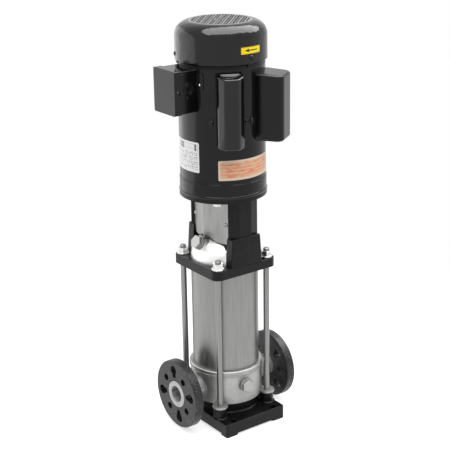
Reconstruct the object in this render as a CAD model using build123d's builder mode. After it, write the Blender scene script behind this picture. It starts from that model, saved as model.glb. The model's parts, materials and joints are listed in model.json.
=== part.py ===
from build123d import *
import os
from math import asin, cos, degrees, radians, sin, sqrt

os.makedirs("parts", exist_ok=True)

# The pump stands upright. The origin is the middle of the base plate's underside, on the shaft's
# axis. Z is up, and the pipe runs along X, with the inlet at -X and the outlet at +X.

# Clearances
slip = 0.05
seat_gap = 0.1
turning_gap = 0.3

# Base plate
base_length = 145
base_depth = 199
base_height = 28
base_corner = 4
base_wall = 9
base_top = 11
base_rib = 7
base_bolt_x = 100
base_bolt_y = 180
base_bolt_hole = 13
foot_length = 20
foot_boss = 18.8
foot_relief = 4
boss_radius = 67
boss_height = 22
lug_radius = 13.4

# Staybolts
rod_pitch = 118.2
rod_diameter = 12
rod_end = 18
thread_depth = 16
rod_nut_flats = 19
rod_nut_height = 10
rod_washer_radius = 12.5
rod_washer_height = 2.5

# Base chamber and its ports
chamber_radius = 72.6
chamber_height = 71
chamber_wall = 3
lip_radius = 74.2
lip_height = 12
lip_step = 0.8
lip_bead = 3.6
lip_edge = 1.5
ear_radius = 15.5
ear_height = 4
port_height = 75
face_to_face = 250
port_bore = 34
neck_radius = 21.3
stub_radius = 27.5
stub_height = 4.5
flare_radius = 24.5
cup_radius = 53
cup_wall = 3
cup_height = 57

# Drain plug
plug_flats = 24
plug_head = 9
plug_thread_radius = 9
plug_collar_radius = 14.2
plug_seal_height = 1.6
drain_angle = 265
drain_height = 90
drain_pad_radius = 15
drain_pad_height = 2.5

# Loose port flanges
flange_radius = 70
flange_height = 19
flange_round = 2.5
stub_pocket_radius = 29
large_circle = 100
large_hole = 19
small_circle = 85
small_hole = 14
slot_width = 11
slot_reach = 39
inlet_turn = 9.6
outlet_turn = 45

# Sleeve
sleeve_radius = 67
sleeve_wall = 2
sleeve_seat = 8
sleeve_seen = 206
seal_ring = 3

# Hydraulic stack
stage_count = 5
stage_pitch = 30
stage_radius = 52
stage_wall = 1.5
eye_radius = 22.5
impeller_radius = 45
impeller_width = 6
impeller_vanes = 6
guide_vanes = 7
shroud = 1.5
hub_radius = 12
hub_height = 10.5
guide_height = 12
bush_wall = 4
guide_spokes = 3
shaft_radius = 8
spacer_radius = 11
shaft_nut_flats = 19
shaft_nut_height = 8

# Pump head cover and priming plug
spigot_height = 9
head_flange_height = 3.2
dome_radius = 66.6
dome_rise = 53
dome_foot = 2
gland_flat = 24
head_wall = 6
skirt_radius = 46
skirt_wall = 4
skirt_windows = 6
plug_tilt = 26
plug_root_x = 46
plug_root_z = 50
plug_boss_radius = 14.2
plug_boss_length = 14

# Mechanical seal
gland_radius = 17
seal_plate_height = 4
seal_ring_height = 7
seal_driver_height = 16

# Motor stool
plate_half = 74.5
plate_corner = 15.5
plate_height = 18.6
stool_height = 132.5
stool_flange_radius = 85.4
stool_flange_height = 10
stool_bore = 50
block_half = 37
block_face = 73.5
block_height = 56
block_draft = 3.5
block_shoulder = 7
column_half = 34.4
column_flat = 14
column_face = 70.8
column_corner = 63
column_inner = 55.5
leg_inner_half = 29
leg_lip = 10
leg_web = 3
c_face_circle = 149.2
c_face_bolt = 9.5
c_face_flats = 14.3
c_face_head = 6
c_face_grip = 8.5
rabbet_radius = 57.15
rabbet_height = 4

# Coupling
coupling_radius = 27
coupling_head_room = 17.3
coupling_foot = 8
coupling_split = 2
coupling_screw = 8
coupling_screw_reach = 17.5
coupling_screw_edge = 12
coupling_screw_head = 6.4
coupling_screw_seat = 6.5
coupling_share = 0.42
shaft_gap = 2
coupling_pin = 5

# Coupling guards
guard_ridge = 48
guard_sheet = 1.5
guard_foot = 42.5
guard_arch = 52.5
guard_top_gap = 1
guard_tab = 7
guard_screw_height = 82
guard_screw_edge = 5
guard_arch_half = 32
guard_arch_mid = 22
guard_arch_tip = 8
guard_tab_half = 2.5

# Motor
frame_radius = 83.5
frame_wall = 2.5
bell_radius = 84.7
bell_height = 27
bell_wall = 9
bell_spigot = 6
frame_length = 220
upper_bell_height = 8
motor_shaft_radius = 7.94
bearing_radius = 20
bearing_height = 12
journal_radius = 8.5
race_radius = 12
stator_foot_room = 50
stator_head_room = 70
rotor_radius = 44
air_gap = 0.5
winding_height = 24
through_bolt = 6
through_bolt_circle = 154
through_bolt_bury = 18
through_bolt_flats = 8
through_bolt_head = 4
fan_radius = 66
fan_blades = 8

# Fan cover
cover_radius = 87.5
cover_sheet = 1.5
cover_gap = 7.5
cover_straight = 44
cover_height = 71
grille_radius = 58.2
grille_slot = 2.4
grille_pitch = 5.4
grille_margin = 2.5
cover_screw = 5
cover_screw_height = 11
cover_screw_angle = 273.5
cover_screw_bite = 7
cover_screw_head = 5
cover_lug_width = 14
cover_lug_depth = 11
cover_lug_head = 6

# Conduit box
box_reach = 129
box_width = 65.2
box_height = 80
box_sheet = 1.6
box_floor = 88
lid_lip = 14
box_corner = 2
box_root = 10
board_height = 6
board_margin = 7
terminal_pitch = 22
terminal_radius = 5
terminal_height = 8

# Capacitor covers
can_sheet = 1.2
can_slope = 3.5
can_edge = 5
can_room = 1.2
can_foot = 12
can_head = 27
start_angle = 243.6
start_width = 50
start_reach = 118
start_corner = 14
start_drop = 6
start_height = 139
run_angle = 304
run_width = 62
run_reach = 130
run_corner = 14
run_drop = 13
run_height = 129
ear_reach = 13
ear_screw = 8
ear_width = 16
ear_drop = 100

# Small pan head screws for the guards, the capacitor covers and the conduit cover
pan_screw = 5
pan_screw_tip_gap = 0.1
pan_head = 9.4
pan_head_height = 2.6

# Levels worked out from the sizes above
boss_top = base_height + boss_height
chamber_top = boss_top + chamber_height
sleeve_foot = chamber_top - sleeve_seat
stool_foot = chamber_top + sleeve_seen
plate_top = stool_foot + plate_height
cup_top = boss_top + cup_height
stack_foot = cup_top + guide_height
stack_top = stack_foot + stage_count * stage_pitch
guide_top = stack_top + guide_height
dome_base = plate_top + dome_foot
dome_top = dome_base + dome_rise * sqrt(1 - (gland_flat / dome_radius) ** 2)
seal_plate_top = dome_top + seal_plate_height
stool_top = plate_top + stool_height + stool_flange_height
shoulder = stool_top - stool_flange_height
frame_foot = stool_top + bell_height
frame_top = frame_foot + frame_length
bell_top = frame_top + upper_bell_height
cover_rim = frame_top + cover_gap
cover_top = cover_rim + cover_height
rod_top = plate_top + rod_end
sleeve_inside = sleeve_radius - sleeve_wall
frame_inside = frame_radius - frame_wall
pan_screw_length = can_sheet + frame_wall - pan_screw_tip_gap
port_face = face_to_face / 2
flange_back = port_face - flange_height


def hexagon(flats):
    """Radius over the corners of a hexagon with this size over its flats."""
    return flats / sqrt(3)


def around(angle, level):
    """A plane on the motor's axis at this level that looks out along this angle."""
    turn = radians(angle)
    return Plane(origin=(0, 0, level), x_dir=(0, 0, 1), z_dir=(cos(turn), sin(turn), 0))


def guard_screw_plane(side, end):
    """The plane on a guard's outer face at one of its screws: side is -1 or +1 in X, end in Y."""
    run = guard_ridge - leg_inner_half
    slope = sqrt(run**2 + column_inner**2)
    along = 1 - guard_screw_edge / slope
    foot_x = side * (guard_ridge + guard_sheet - run * along)
    z_dir = (side * column_inner, end * run, 0)
    return Plane(
        origin=(foot_x, end * column_inner * along, plate_top + guard_screw_height),
        x_dir=(0, 0, 1),
        z_dir=z_dir,
    )


def ear_turns(angle, width):
    """Angles of the two ear screws of the capacitor cover at this angle."""
    half = degrees(asin((width / 2 + ear_screw) / frame_radius))
    return (angle - half, angle + half)


ear_angles = ear_turns(start_angle, start_width) + ear_turns(run_angle, run_width)
ear_level = frame_top - ear_drop
box_foot = frame_top - box_height
box_middle = box_foot + box_height / 2


def lid_screw_plane(side):
    """The plane on the side of the conduit cover's lip where its screw sits."""
    return Plane(
        origin=(lid_lip / 2 - box_reach, side * (box_width / 2 + box_sheet + slip), box_middle),
        x_dir=(1, 0, 0),
        z_dir=(0, side, 0),
    )


# Base plate: a ribbed casting that stands on its four corners
with BuildPart() as base_plate:
    with BuildSketch():
        RectangleRounded(base_length, base_depth, base_corner)
    extrude(amount=base_height)
    pocket_x = (base_length - 2 * base_wall - base_rib) / 2
    pocket_y = (base_depth - 2 * base_wall - 2 * base_rib) / 3
    with BuildSketch():
        with GridLocations(pocket_x + base_rib, pocket_y + base_rib, 2, 3):
            RectangleRounded(pocket_x, pocket_y, base_corner)
        with GridLocations(base_bolt_x, base_bolt_y, 2, 2):
            Circle(base_bolt_hole, mode=Mode.SUBTRACT)
    extrude(amount=base_height - base_top, mode=Mode.SUBTRACT)
    with BuildSketch():
        Rectangle(base_length - 2 * foot_length, base_depth)
        Rectangle(base_length, base_depth - 2 * foot_length)
        with GridLocations(base_bolt_x, base_bolt_y, 2, 2):
            Circle(foot_boss / 2, mode=Mode.SUBTRACT)
    extrude(amount=foot_relief, mode=Mode.SUBTRACT)
    fillet(base_plate.faces().sort_by(Axis.Z)[-1].outer_wire().edges(), radius=1.5)
    with BuildSketch(Plane.XY.offset(base_height - base_top)):
        Circle(boss_radius)
        with GridLocations(rod_pitch, rod_pitch, 2, 2):
            Circle(lug_radius)
    extrude(amount=base_top + boss_height)
    with Locations(Plane.XY.offset(base_height)):
        with GridLocations(base_bolt_x, base_bolt_y, 2, 2):
            Hole(base_bolt_hole / 2)
    with Locations(Plane.XY.offset(boss_top)):
        with GridLocations(rod_pitch, rod_pitch, 2, 2):
            Hole(rod_diameter / 2 + slip, thread_depth)
base_plate.part.label = "base_plate"
export_step(base_plate.part, "parts/base_plate.step")

# Base chamber: a pressed shell with an inner cup for the suction side and a ring space for the
# discharge side. Each nozzle ends in a collar that holds its loose flange.
drain_plane = Plane(
    origin=(0, 0, drain_height),
    x_dir=(0, 0, 1),
    z_dir=(cos(radians(drain_angle)), sin(radians(drain_angle)), 0),
)
drain_seat = chamber_radius + drain_pad_height
with BuildPart() as pump_chamber:
    with BuildSketch(Plane.XZ):
        with BuildLine():
            Polyline(
                (0, boss_top),
                (chamber_radius, boss_top),
                (chamber_radius, chamber_top - lip_height),
                (lip_radius - lip_step, chamber_top - lip_height + lip_step),
                (lip_radius - lip_step, chamber_top - lip_bead - lip_step),
                (lip_radius, chamber_top - lip_bead),
                (lip_radius, chamber_top - lip_edge),
                (lip_radius - lip_edge, chamber_top),
                (sleeve_radius + seat_gap, chamber_top),
                (sleeve_radius + seat_gap, sleeve_foot),
                (sleeve_inside - seal_ring, sleeve_foot),
                (sleeve_inside - seal_ring, sleeve_foot - 3),
                (chamber_radius - chamber_wall, sleeve_foot - 7),
                (chamber_radius - chamber_wall, boss_top + chamber_wall),
                (cup_radius, boss_top + chamber_wall),
                (cup_radius, cup_top),
                (cup_radius - cup_wall, cup_top),
                (cup_radius - cup_wall, boss_top + chamber_wall),
                (0, boss_top + chamber_wall),
                close=True,
            )
        make_face()
    revolve(axis=Axis.Z)
    with BuildSketch(Plane.XY.offset(boss_top)):
        with GridLocations(rod_pitch, rod_pitch, 2, 2):
            Circle(ear_radius)
        Circle(chamber_radius - chamber_wall, mode=Mode.SUBTRACT)
    extrude(amount=ear_height)
    with BuildSketch(Plane.XZ.offset(0)):
        with BuildLine():
            Polyline(
                (-port_face, port_height),
                (-port_face, port_height + stub_radius),
                (stub_height - port_face, port_height + stub_radius),
                (stub_height - port_face, port_height + neck_radius),
                (flange_height - port_face + 5, port_height + neck_radius),
                (flange_height - port_face + 15, port_height + neck_radius + 1.5),
                (-chamber_radius - 1, port_height + flare_radius),
                (-chamber_radius + chamber_wall, port_height + flare_radius),
                (-chamber_radius + chamber_wall, port_height + neck_radius),
                (-cup_radius + cup_wall, port_height + neck_radius),
                (-cup_radius + cup_wall, port_height),
                close=True,
            )
        make_face()
    revolve(axis=Axis((0, 0, port_height), (1, 0, 0)))
    with BuildSketch(Plane.XZ):
        with BuildLine():
            Polyline(
                (port_face, port_height),
                (port_face, port_height + stub_radius),
                (port_face - stub_height, port_height + stub_radius),
                (port_face - stub_height, port_height + neck_radius),
                (flange_back - 5, port_height + neck_radius),
                (flange_back - 15, port_height + neck_radius + 1.5),
                (chamber_radius + 1, port_height + flare_radius),
                (chamber_radius - chamber_wall, port_height + flare_radius),
                (chamber_radius - chamber_wall, port_height),
                close=True,
            )
        make_face()
    revolve(axis=Axis((0, 0, port_height), (1, 0, 0)))
    with BuildSketch(drain_plane.offset(chamber_radius - chamber_wall - 2)):
        Circle(drain_pad_radius)
    extrude(amount=chamber_wall + 2 + drain_pad_height)
    with BuildSketch(Plane.YZ.offset(-port_face)):
        with Locations((0, port_height)):
            Circle(port_bore / 2)
    extrude(amount=port_face - cup_radius + 2 * cup_wall, mode=Mode.SUBTRACT)
    with BuildSketch(Plane.YZ.offset(port_face)):
        with Locations((0, port_height)):
            Circle(port_bore / 2)
    extrude(amount=-(port_face - cup_radius - 2), mode=Mode.SUBTRACT)
    with BuildSketch(Plane.XY.offset(boss_top)):
        with GridLocations(rod_pitch, rod_pitch, 2, 2):
            Circle(rod_diameter / 2 + slip)
    extrude(amount=ear_height, mode=Mode.SUBTRACT)
    with BuildSketch(drain_plane.offset(drain_seat)):
        Circle(plug_thread_radius + slip)
    extrude(amount=-(drain_seat - cup_radius - 2), mode=Mode.SUBTRACT)
pump_chamber.part.label = "pump_chamber"
export_step(pump_chamber.part, "parts/pump_chamber.step")


def hex_plug(plane, thread_length):
    """A sealing plug on this plane: hexagon head, collar and thread, with the plane at its seat."""
    with BuildPart() as plug:
        with BuildSketch(plane):
            Circle(plug_collar_radius)
        extrude(amount=2.5)
        with BuildSketch(plane.offset(2.5)):
            RegularPolygon(hexagon(plug_flats), 6)
        extrude(amount=plug_head)
        chamfer(plug.faces().sort_by(Axis(plane.origin, plane.z_dir))[-1].edges(), length=1)
        with BuildSketch(plane):
            Circle(plug_thread_radius)
        extrude(amount=-thread_length)
    return plug.part


def seal_washer(plane):
    """A flat sealing ring that lies on this plane, under a plug's collar."""
    with BuildPart() as ring:
        with BuildSketch(plane):
            Circle(plug_collar_radius - 0.5)
            Circle(plug_thread_radius + slip, mode=Mode.SUBTRACT)
        extrude(amount=plug_seal_height)
    return ring.part


# Drain plug, low on the front of the chamber
with BuildPart() as drain_plug:
    add(hex_plug(drain_plane.offset(drain_seat + plug_seal_height), 8))
drain_plug.part.label = "drain_plug"
export_step(drain_plug.part, "parts/drain_plug.step")


def port_flange(side, turn):
    """A loose flange on the nozzle at side -1 or +1, turned about the pipe by an angle."""
    face = Plane(origin=(side * port_face, 0, port_height), x_dir=(0, 1, 0), z_dir=(side, 0, 0))
    with BuildPart() as flange:
        with BuildSketch(face):
            Circle(flange_radius)
        extrude(amount=-flange_height)
        fillet(flange.edges().filter_by(GeomType.CIRCLE), radius=flange_round)
        with BuildSketch(face):
            Circle(neck_radius + slip)
        extrude(amount=-flange_height, mode=Mode.SUBTRACT)
        with BuildSketch(face):
            Circle(stub_pocket_radius)
        extrude(amount=-stub_height - slip, mode=Mode.SUBTRACT)
        with BuildSketch(face):
            with PolarLocations(large_circle / 2, 4, start_angle=turn):
                Circle(large_hole / 2)
            with PolarLocations((large_circle / 2 + slot_reach) / 2, 4, start_angle=turn):
                SlotOverall(large_circle / 2 - slot_reach + slot_width, slot_width)
            with PolarLocations(small_circle / 2, 4, start_angle=turn + 45):
                Circle(small_hole / 2)
        extrude(amount=-flange_height, mode=Mode.SUBTRACT)
    return flange.part


# Loose port flanges, which turn on their nozzles so that the bolt holes can meet any pipe
with BuildPart() as inlet_flange:
    add(port_flange(-1, inlet_turn))
inlet_flange.part.label = "inlet_flange"
export_step(inlet_flange.part, "parts/inlet_flange.step")

with BuildPart() as outlet_flange:
    add(port_flange(1, outlet_turn))
outlet_flange.part.label = "outlet_flange"
export_step(outlet_flange.part, "parts/outlet_flange.step")

# Outer sleeve between the base chamber and the head plate
sleeve_top = stool_foot - head_flange_height
with BuildPart() as outer_sleeve:
    with BuildSketch(Plane.XY.offset(sleeve_foot)):
        Circle(sleeve_radius)
        Circle(sleeve_inside, mode=Mode.SUBTRACT)
    extrude(amount=sleeve_top - sleeve_foot)
outer_sleeve.part.label = "outer_sleeve"
export_step(outer_sleeve.part, "parts/outer_sleeve.step")

# Sealing rings inside both ends of the sleeve
with BuildPart() as sleeve_seals:
    for level in (sleeve_foot, sleeve_top - spigot_height - seal_ring):
        with BuildSketch(Plane.XY.offset(level)):
            Circle(sleeve_inside)
            Circle(sleeve_inside - seal_ring, mode=Mode.SUBTRACT)
        extrude(amount=seal_ring)
sleeve_seals.part.label = "sleeve_seals"
export_step(sleeve_seals.part, "parts/sleeve_seals.step")


def guide_star(level, foot_radius, height):
    """A ring that carries a bush for the shaft on spokes, with room for the flow between them."""
    bore = spacer_radius + slip + bush_wall
    with BuildPart() as star:
        with BuildSketch(Plane.XY.offset(level)):
            Circle(foot_radius)
            Circle(foot_radius - 9, mode=Mode.SUBTRACT)
            Circle(bore + 4)
            with PolarLocations((foot_radius - 9 + bore) / 2, guide_spokes):
                Rectangle(foot_radius - bore - 6, 5)
            Circle(bore, mode=Mode.SUBTRACT)
        extrude(amount=height)
    return star.part


# Inlet guide at the foot of the stack and discharge guide on top of it
with BuildPart() as inlet_guide:
    add(guide_star(cup_top, cup_radius, guide_height))
inlet_guide.part.label = "inlet_guide"
export_step(inlet_guide.part, "parts/inlet_guide.step")

with BuildPart() as discharge_guide:
    add(guide_star(stack_top, stage_radius, guide_height))
discharge_guide.part.label = "discharge_guide"
export_step(discharge_guide.part, "parts/discharge_guide.step")

# Journal bushes of hard material, pressed into both guides
with BuildPart() as journal_bushes:
    for level in (cup_top, stack_top):
        with BuildSketch(Plane.XY.offset(level)):
            Circle(spacer_radius + slip + bush_wall)
            Circle(spacer_radius + slip, mode=Mode.SUBTRACT)
        extrude(amount=guide_height)
journal_bushes.part.label = "journal_bushes"
export_step(journal_bushes.part, "parts/journal_bushes.step")


def vane(inner_radius, outer_radius, thickness):
    """One curved vane in plan, from the inner to the outer radius, leaning back as it goes out."""
    middle = (inner_radius + outer_radius) / 2
    with BuildSketch(mode=Mode.PRIVATE) as blade:
        with BuildLine():
            outer = ThreePointArc(
                (inner_radius, 0),
                (middle * cos(radians(18)), -middle * sin(radians(18))),
                (outer_radius * cos(radians(50)), -outer_radius * sin(radians(50))),
            )
            offset(outer, amount=thickness / 2, side=Side.BOTH)
        make_face()
    return blade.sketch


# Stage chambers: each is a cup whose floor has the eye for the impeller, with guide vanes above
# the impeller that turn the flow back to the next eye
for stage in range(stage_count):
    floor = stack_foot + stage * stage_pitch
    guide_floor = floor + shroud + 2 * turning_gap + impeller_width + 2 * shroud + 2
    with BuildPart() as stage_chamber:
        with BuildSketch(Plane.XY.offset(floor)):
            Circle(stage_radius)
        extrude(amount=stage_pitch)
        with BuildSketch(Plane.XY.offset(floor + shroud)):
            Circle(stage_radius - stage_wall)
        extrude(amount=stage_pitch - shroud, mode=Mode.SUBTRACT)
        with BuildSketch(Plane.XY.offset(guide_floor)):
            Circle(impeller_radius + 2)
            Circle(eye_radius - 5, mode=Mode.SUBTRACT)
        extrude(amount=shroud)
        with BuildSketch(Plane.XY.offset(guide_floor)):
            with PolarLocations(0, guide_vanes):
                add(vane(eye_radius - 3, stage_radius - stage_wall / 2, shroud))
        extrude(amount=stage_pitch - (guide_floor - floor) - slip)
        with BuildSketch(Plane.XY.offset(floor)):
            Circle(eye_radius + turning_gap)
        extrude(amount=shroud, mode=Mode.SUBTRACT)
    stage_chamber.part.label = f"stage_chamber_{stage + 1}"
    export_step(stage_chamber.part, f"parts/stage_chamber_{stage + 1}.step")

# Impellers: an eye, a front and a back shroud with curved vanes between them, and a hub
for stage in range(stage_count):
    floor = stack_foot + stage * stage_pitch
    front = floor + shroud + turning_gap
    back = front + shroud + impeller_width
    with BuildPart() as impeller:
        with BuildSketch(Plane.XY.offset(front)):
            Circle(impeller_radius)
        extrude(amount=shroud)
        with BuildSketch(Plane.XY.offset(floor)):
            Circle(eye_radius)
        extrude(amount=front - floor)
        with BuildSketch(Plane.XY.offset(floor)):
            Circle(eye_radius - shroud)
        extrude(amount=front - floor + shroud, mode=Mode.SUBTRACT)
        with BuildSketch(Plane.XY.offset(back)):
            Circle(impeller_radius)
        extrude(amount=shroud)
        with BuildSketch(Plane.XY.offset(front + shroud / 2)):
            with PolarLocations(0, impeller_vanes):
                add(vane(eye_radius - shroud, impeller_radius - 2, shroud))
        extrude(amount=impeller_width + shroud)
        with BuildSketch(Plane.XY.offset(back + shroud - hub_height)):
            Circle(hub_radius)
        extrude(amount=hub_height)
        with BuildSketch(Plane.XY.offset(floor - hub_height)):
            Circle(shaft_radius + slip)
        extrude(amount=2 * stage_pitch, mode=Mode.SUBTRACT)
    impeller.part.label = f"impeller_{stage + 1}"
    export_step(impeller.part, f"parts/impeller_{stage + 1}.step")

# Shaft sleeves that space the impellers and run in the bushes
first_hub = stack_foot + shroud + turning_gap + 2 * shroud + impeller_width - hub_height
spacer_foot = cup_top - 3
spacer_top = guide_top + 3
with BuildPart() as shaft_sleeves:
    spans = [(spacer_foot, first_hub)]
    for stage in range(stage_count - 1):
        low = first_hub + hub_height + stage * stage_pitch
        spans.append((low, low + stage_pitch - hub_height))
    spans.append((first_hub + hub_height + (stage_count - 1) * stage_pitch, spacer_top))
    for low, high in spans:
        with BuildSketch(Plane.XY.offset(low)):
            Circle(spacer_radius)
            Circle(shaft_radius + slip, mode=Mode.SUBTRACT)
        extrude(amount=high - low)
shaft_sleeves.part.label = "shaft_sleeves"
export_step(shaft_sleeves.part, "parts/shaft_sleeves.step")

# Pump shaft, from its end nut up into the coupling
coupling_low = seal_plate_top + coupling_foot
coupling_top = stool_top - coupling_head_room
coupling_height = coupling_top - coupling_low
shaft_split = coupling_low + coupling_share * coupling_height
shaft_low = spacer_foot - shaft_nut_height - 2
shaft_high = shaft_split - shaft_gap / 2
with BuildPart() as pump_shaft:
    with BuildSketch(Plane.XY.offset(shaft_low)):
        Circle(shaft_radius)
    extrude(amount=shaft_high - shaft_low)
    chamfer(pump_shaft.faces().filter_by(Plane.XY).edges(), length=1)
    with BuildSketch(Plane.XZ):
        with Locations((0, (coupling_low + shaft_high) / 2)):
            Circle(coupling_pin / 2 + slip)
    extrude(amount=shaft_radius, both=True, mode=Mode.SUBTRACT)
pump_shaft.part.label = "pump_shaft"
export_step(pump_shaft.part, "parts/pump_shaft.step")

with BuildPart() as shaft_nut:
    with BuildSketch(Plane.XY.offset(spacer_foot - shaft_nut_height)):
        RegularPolygon(hexagon(shaft_nut_flats), 6)
        Circle(shaft_radius + slip, mode=Mode.SUBTRACT)
    extrude(amount=shaft_nut_height)
shaft_nut.part.label = "shaft_nut"
export_step(shaft_nut.part, "parts/shaft_nut.step")

# Pump head cover: a stainless casting that closes the sleeve and holds the seal. Its skirt
# presses the stack down, and windows in the skirt let the flow out to the sleeve.
dome_turn = degrees(asin((dome_top - dome_base) / dome_rise))
plug_plane = Plane(
    origin=(-plug_root_x, 0, stool_foot + plug_root_z),
    x_dir=(0, 1, 0),
    z_dir=(-cos(radians(plug_tilt)), 0, sin(radians(plug_tilt))),
)
with BuildPart() as pump_head:
    with BuildSketch(Plane.XZ):
        with BuildLine():
            side = EllipticalCenterArc(
                (0, dome_base),
                dome_radius,
                dome_rise,
                start_angle=0,
                arc_size=dome_turn,
            )
            Line((gland_radius, dome_top), side @ 1)
            Polyline(
                side @ 0,
                (dome_radius, stool_foot),
                (sleeve_radius, stool_foot),
                (sleeve_radius, sleeve_top),
                (sleeve_inside - seat_gap, sleeve_top),
                (sleeve_inside - seat_gap, sleeve_top - spigot_height),
                (skirt_radius + skirt_wall, sleeve_top - spigot_height),
                (skirt_radius + skirt_wall, guide_top),
                (skirt_radius, guide_top),
                (skirt_radius, stool_foot),
                (dome_radius - head_wall, stool_foot),
                (dome_radius - head_wall, dome_base),
                (dome_radius * 0.66, dome_base + dome_rise * 0.56),
                (gland_radius + 5, dome_top - head_wall),
                (gland_radius + 5, dome_top - head_wall - 14),
                (gland_radius, dome_top - head_wall - 14),
                (gland_radius, dome_top),
            )
        make_face()
    revolve(axis=Axis.Z)
    window_top = sleeve_top - spigot_height - 4
    window_low = guide_top + 5
    with Locations((0, 0, (window_low + window_top) / 2)):
        with PolarLocations(skirt_radius + skirt_wall / 2, skirt_windows):
            Box(3 * skirt_wall, 26, window_top - window_low, mode=Mode.SUBTRACT)
    with BuildSketch(plug_plane):
        Circle(plug_boss_radius)
    extrude(amount=plug_boss_length)
    with BuildSketch(plug_plane.offset(plug_boss_length)):
        Circle(plug_thread_radius + slip)
    extrude(amount=-plug_boss_length - 12, mode=Mode.SUBTRACT)
pump_head.part.label = "pump_head"
export_step(pump_head.part, "parts/pump_head.step")

# Priming plug
with BuildPart() as priming_plug:
    add(hex_plug(plug_plane.offset(plug_boss_length + plug_seal_height), 12))
priming_plug.part.label = "priming_plug"
export_step(priming_plug.part, "parts/priming_plug.step")

# Seal rings under both plugs
with BuildPart() as plug_seals:
    add(seal_washer(drain_plane.offset(drain_seat)))
    add(seal_washer(plug_plane.offset(plug_boss_length)))
plug_seals.part.label = "plug_seals"
export_step(plug_seals.part, "parts/plug_seals.step")

# Mechanical seal: a driver and a ring turn with the shaft, and a ring stands in the gland plate
with BuildPart() as seal_plate:
    with BuildSketch(Plane.XY.offset(dome_top)):
        Circle(gland_flat - slip)
        Circle(shaft_radius + 1.5, mode=Mode.SUBTRACT)
    extrude(amount=seal_plate_height)
seal_plate.part.label = "seal_plate"
export_step(seal_plate.part, "parts/seal_plate.step")

with BuildPart() as seal_stationary_ring:
    with BuildSketch(Plane.XY.offset(dome_top - seal_ring_height)):
        Circle(gland_radius)
        Circle(shaft_radius + 1.5, mode=Mode.SUBTRACT)
    extrude(amount=seal_ring_height)
seal_stationary_ring.part.label = "seal_stationary_ring"
export_step(seal_stationary_ring.part, "parts/seal_stationary_ring.step")

seal_face = dome_top - seal_ring_height - slip
with BuildPart() as seal_rotor:
    with BuildSketch(Plane.XY.offset(seal_face - seal_ring_height)):
        Circle(gland_radius - 3)
    extrude(amount=seal_ring_height)
    with BuildSketch(Plane.XY.offset(seal_face - seal_ring_height - seal_driver_height)):
        Circle(gland_radius - 4.5)
    extrude(amount=seal_driver_height)
    with BuildSketch(Plane.XY.offset(seal_face)):
        Circle(shaft_radius + slip)
    extrude(amount=-seal_ring_height - seal_driver_height, mode=Mode.SUBTRACT)
seal_rotor.part.label = "seal_rotor"
export_step(seal_rotor.part, "parts/seal_rotor.step")

# Motor stool: head plate, two legs and a top flange in one casting. Each leg is a channel whose
# lips carry the guards.
lip_x = leg_inner_half + (guard_ridge - leg_inner_half) * leg_lip / column_inner
with BuildPart() as motor_stool:
    with BuildSketch(Plane.XY.offset(stool_foot)):
        RectangleRounded(2 * plate_half, 2 * plate_half, plate_corner)
    extrude(amount=plate_height)
    fillet(motor_stool.faces().sort_by(Axis.Z)[-1].edges(), radius=1.5)
    for side in (-1, 1):
        with BuildSketch(Plane.XY.offset(plate_top - 1)):
            with Locations((0, side * (block_face + column_inner) / 2)):
                Rectangle(2 * block_half, block_face - column_inner)
        with BuildSketch(Plane.XY.offset(plate_top + block_height)):
            with Locations((0, side * (block_face - block_draft + column_inner) / 2)):
                Rectangle(2 * (block_half - block_draft), block_face - block_draft - column_inner)
        loft()
        outer = motor_stool.edges().filter_by(Axis.X).group_by(Axis.Z)[-1].sort_by(Axis.Y)
        chamfer(outer[0] if side < 0 else outer[-1], length=block_shoulder)
        with BuildSketch(Plane.XY.offset(plate_top + block_height / 2)):
            with BuildLine():
                Polyline(
                    (-leg_inner_half, side * column_inner),
                    (-column_half, side * column_corner),
                    (-column_flat, side * column_face),
                    (column_flat, side * column_face),
                    (column_half, side * column_corner),
                    (leg_inner_half, side * column_inner),
                    (lip_x, side * (column_inner - leg_lip)),
                    (lip_x - 6, side * (column_inner - leg_lip)),
                    (lip_x - 9, side * (column_inner - leg_web)),
                    (9 - lip_x, side * (column_inner - leg_web)),
                    (6 - lip_x, side * (column_inner - leg_lip)),
                    (-lip_x, side * (column_inner - leg_lip)),
                    close=True,
                )
            make_face()
        extrude(amount=shoulder - plate_top - block_height / 2)
    with BuildSketch(Plane.XY.offset(shoulder)):
        Circle(stool_flange_radius)
    extrude(amount=stool_flange_height)
    with BuildSketch(Plane.XY.offset(stool_top)):
        Circle(stool_bore)
    extrude(amount=-stool_flange_height, mode=Mode.SUBTRACT)
    with BuildSketch(Plane.XY.offset(stool_top)):
        Circle(rabbet_radius + slip)
    extrude(amount=-rabbet_height - slip, mode=Mode.SUBTRACT)
    with BuildSketch(Plane.XY.offset(stool_foot)):
        Circle(dome_radius + seat_gap)
    extrude(amount=plate_height, mode=Mode.SUBTRACT)
    with BuildSketch(Plane.XZ):
        with BuildLine():
            Polyline((0, dome_base + dome_rise + 1), (0, plate_top - 1), (dome_radius + 1, plate_top - 1))
            Line((dome_radius + 1, plate_top - 1), (dome_radius + 1, dome_base))
            EllipticalCenterArc((0, dome_base), dome_radius + 1, dome_rise + 1, start_angle=0, arc_size=90)
        make_face()
    revolve(axis=Axis.Z, mode=Mode.SUBTRACT)
    with BuildSketch(Plane.XY.offset(stool_foot)):
        with GridLocations(rod_pitch, rod_pitch, 2, 2):
            Circle(rod_diameter / 2 + 0.5)
    extrude(amount=plate_height, mode=Mode.SUBTRACT)
    with BuildSketch(Plane.XY.offset(shoulder)):
        with PolarLocations(c_face_circle / 2, 4, start_angle=45):
            Circle(c_face_bolt / 2 + 0.5)
    extrude(amount=stool_flange_height, mode=Mode.SUBTRACT)
    for side in (-1, 1):
        for end in (-1, 1):
            with BuildSketch(guard_screw_plane(side, end)):
                Circle(pan_screw / 2 + slip)
            extrude(amount=-pan_screw_length - 1, mode=Mode.SUBTRACT)
motor_stool.part.label = "motor_stool"
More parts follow.
